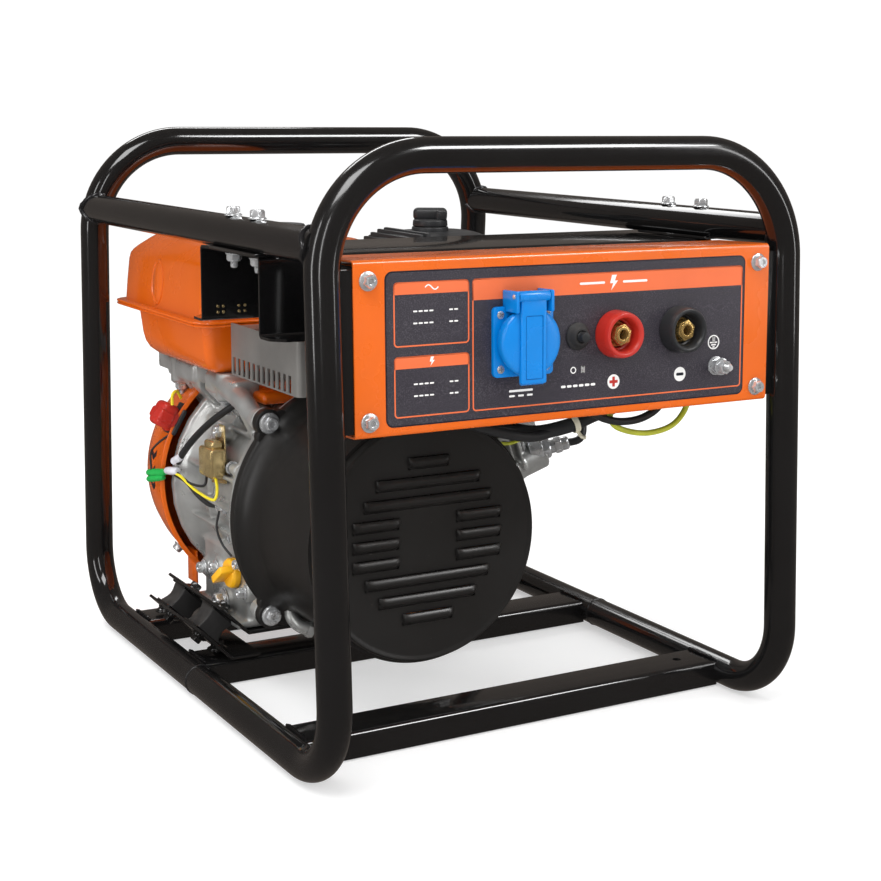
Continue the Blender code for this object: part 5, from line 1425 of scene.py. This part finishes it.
def crankcase_wires():
    wire("oil_alert_hose", [(-0.1440, 0.0330, 0.2370), (-0.1520, 0.0410, 0.2290),
                            (-0.1610, 0.0560, 0.2170), (-0.1680, 0.0740, 0.2020),
                            (-0.1730, 0.0920, 0.1854), (-0.1755, 0.1010, 0.1740)], 0.0030,
         BLACK_WIRE)
    wire("oil_alert_wire_yellow", [(-0.1790, 0.1130, 0.1640), (-0.1770, 0.0947, 0.1640),
                                   (-0.1760, 0.0760, 0.1600), (-0.1740, 0.0560, 0.1560),
                                   (-0.1730, 0.0270, 0.1560), (-0.1710, 0.0240, 0.1650),
                                   (-0.1660, 0.0400, 0.1730)], 0.0013, YELLOW_WIRE)
    wire("oil_alert_wire_black", [(-0.1770, 0.0990, 0.1650), (-0.1755, 0.0760, 0.1610),
                                  (-0.1730, 0.0480, 0.1640), (-0.1670, 0.0560, 0.1730)], 0.0012,
         BLACK_WIRE)
    wire("earth_tag_wire", [(-0.1770, 0.1040, 0.1630), (-0.1730, 0.0880, 0.1590),
                            (-0.1690, 0.0740, 0.1500), (-0.1640, 0.0620, 0.1440),
                            (-0.1600, 0.0520, 0.1440)], 0.0019, BLACK_WIRE)
    wire("sensor_wire", [(-0.1590, 0.0500, 0.1400), (-0.1620, 0.0490, 0.1260),
                         (-0.1600, 0.0420, 0.1130), (-0.1560, 0.0320, 0.1045)], 0.0010,
         BLACK_WIRE)
    wire("switch_wire_yellow", [(-0.1590, 0.1340, 0.2240), (-0.1660, 0.1250, 0.2320),
                                (-0.1720, 0.1200, 0.2300), (-0.1720, 0.1210, 0.2210)], 0.0013,
         YELLOW_WIRE)
    wire("switch_wire_black", [(-0.1650, 0.1340, 0.1950), (-0.1780, 0.1400, 0.1850),
                               (-0.1840, 0.1450, 0.1750), (-0.1850, 0.1420, 0.1600)], 0.0010,
         BLACK_WIRE)
    wire("ignition_lead", [(0.1540, -0.0024, 0.1784), (0.1690, -0.0090, 0.1840),
                           (0.1720, -0.0020, 0.2050), (0.1500, 0.0060, 0.2450),
                           (0.1250, 0.0250, 0.2720), (0.0900, 0.0330, 0.2780),
                           (0.0500, 0.0400, 0.2750), (0.0160, 0.1200, 0.2550),
                           (-0.0100, 0.1450, 0.2450)], 0.0035, BLACK_WIRE)


def connectors():
    sleeves = [((-0.1850, 0.1500, 0.1565), (-0.1805, 0.1200, 0.1622), 0.0034, GREEN_BOOT),
               ((-0.1800, 0.1180, 0.1640), (-0.1765, 0.0990, 0.1668), 0.0036, CLEAR_BOOT),
               ((-0.1855, 0.1490, 0.1510), (-0.1810, 0.1230, 0.1570), 0.0030, GREEN_BOOT),
               ((-0.1780, 0.1060, 0.1740), (-0.1750, 0.0950, 0.1800), 0.0036, CLEAR_BOOT)]
    for number, (start, end, radius, material) in enumerate(sleeves):
        path = [Vector(start).lerp(Vector(end), t / 12) for t in range(13)]
        piece("connector_sleeve_%d" % number, softened(
            swept(path, lambda t, r=radius: r * (0.78 + 0.22 * math.sin(math.pi * t) ** 0.4), 20),
            0.0004), material, sharp=60.0)
    tie = moved(lathe([(0.0072, -0.0022), (0.0072, 0.0022), (0.0064, 0.0022), (0.0064, -0.0022)],
                      36), facing((0.0500, -0.1712, 0.2343), (0.018, -0.003, 0.006)))
    tail = swept(curve([(0.0515, -0.1740, 0.2285), (0.0530, -0.1770, 0.2250),
                        (0.0550, -0.1800, 0.2240)], 6), 0.0015, 8)
    piece("cable_tie", joined(tie, tail), TIE)


# ---- stage ------------------------------------------------------------------------------------
def lit_plane(name, place, target, size, power, colour=(1.0, 1.0, 1.0)):
    light = bpy.data.lights.new(name, "AREA")
    light.shape = "RECTANGLE"
    light.size, light.size_y = size
    light.energy = power
    light.color = colour
    obj = placed(name, light)
    way = Vector(target) - Vector(place)
    obj.matrix_world = Matrix.Translation(place) @ way.to_track_quat("-Z", "Y").to_matrix().to_4x4()
    return obj


def stage():
    """Pale floor and a bright dome for the eye and for soft light. Reflections see a dark room
    with a few soft boxes instead, which gives the paint its narrow highlights."""
    bpy.context.scene.view_settings.view_transform = "Standard"
    floor = placed("floor", mesh_from("floor", ([Vector((x, y, -0.0002)) for x, y in (
        (-6, -6), (6, -6), (6, 6), (-6, 6))], [[0, 1, 2, 3]])))
    floor.data.materials.append(glowing("pale_floor", (0.62, 0.62, 0.62), 0.46))
    dome = placed("dome", mesh_from("dome", lathe(
        [(5.0 * math.cos(t), 5.0 * math.sin(t) - 0.3) for t in (math.pi / 2 * i / 16
                                                               for i in range(16))]
        + [(0.0, 4.7), (0.0, -0.3)], 48)))
    dome.data.materials.append(glowing("dome_glow", (0.0, 0.0, 0.0), 1.02))
    dome.visible_shadow = False
    for backdrop in (floor, dome):
        backdrop.visible_glossy = False
    world = bpy.data.worlds.new("studio")
    world.use_nodes = True
    bpy.context.scene.world = world
    background = world.node_tree.nodes["Background"]
    background.inputs["Color"].default_value = (0.125, 0.108, 0.096, 1.0)
    background.inputs["Strength"].default_value = 1.0
    lit_plane("key", (-1.0, -1.0, 2.3), (0, 0, 0.2), (1.2, 1.0), 26)
    lit_plane("left_strip", (-2.4, -0.2, 0.9), (0, 0, 0.2), (0.30, 1.7), 9)
    lit_plane("front_strip", (-1.9, -2.2, 1.1), (0, 0, 0.2), (0.25, 1.6), 8)
    lit_plane("right_strip", (1.6, -1.6, 0.9), (0, 0, 0.2), (0.20, 1.5), 5)
    gleam = lit_plane("high_right", (1.15, -1.45, 1.9), (0, 0, 0.2), (0.9, 0.5), 26)
    gleam.visible_diffuse = False
    lit_plane("back", (0.4, 2.2, 2.2), (0, 0, 0.2), (1.6, 0.5), 14)


def glowing(name, colour, strength):
    mat = bpy.data.materials.new(name)
    mat.use_nodes = True
    shader = mat.node_tree.nodes["Principled BSDF"]
    shader.inputs["Base Color"].default_value = (*colour, 1.0)
    shader.inputs["Roughness"].default_value = 0.8
    shader.inputs["Emission Color"].default_value = (1.0, 1.0, 1.0, 1.0)
    shader.inputs["Emission Strength"].default_value = strength
    return mat


def camera():
    yaw, pitch, roll = 0.5203, -0.1976, 0.0081
    ahead = Vector((math.sin(yaw) * math.cos(pitch), math.cos(yaw) * math.cos(pitch),
                    math.sin(pitch)))
    right = Vector((math.cos(yaw), -math.sin(yaw), 0.0))
    up = right.cross(ahead)
    right, up = (right * math.cos(roll) + up * math.sin(roll),
                 up * math.cos(roll) - right * math.sin(roll))
    data = bpy.data.cameras.new("photo_view")
    data.sensor_width, data.lens = 36.0, 67.85
    data.clip_start = 0.02
    obj = placed("photo_view", data)
    obj.matrix_world = shift(-0.6757, -1.2273, 0.4757) @ Matrix(
        (right, up, -ahead)).transposed().to_4x4()
    bpy.context.scene.camera = obj


def crossmembers():
    for label, y in CROSS_Y.items():
        channel(label, y)


for build in (stage, camera, tubes, crossmembers, bridge, rail_bolts, panel, socket_base,
              socket_screws, socket_flap, breaker, terminals, earth_stud, alternator_housing,
              louvred_cover, inner_parts, crankcase_cover, crankcase, cylinder_head, rocker_cover,
              spark_plug, fan_shroud, recoil_cover, starter_bolts, recoil_handle, tank, fuel_cap,
              air_cleaner, air_cleaner_knob, carburettor, exhaust, levers, ignition_switch,
              oil_dipstick, mounts, engine_fasteners, drain_elbow, oil_alert_unit, panel_wires,
              crankcase_wires, connectors):
    build()
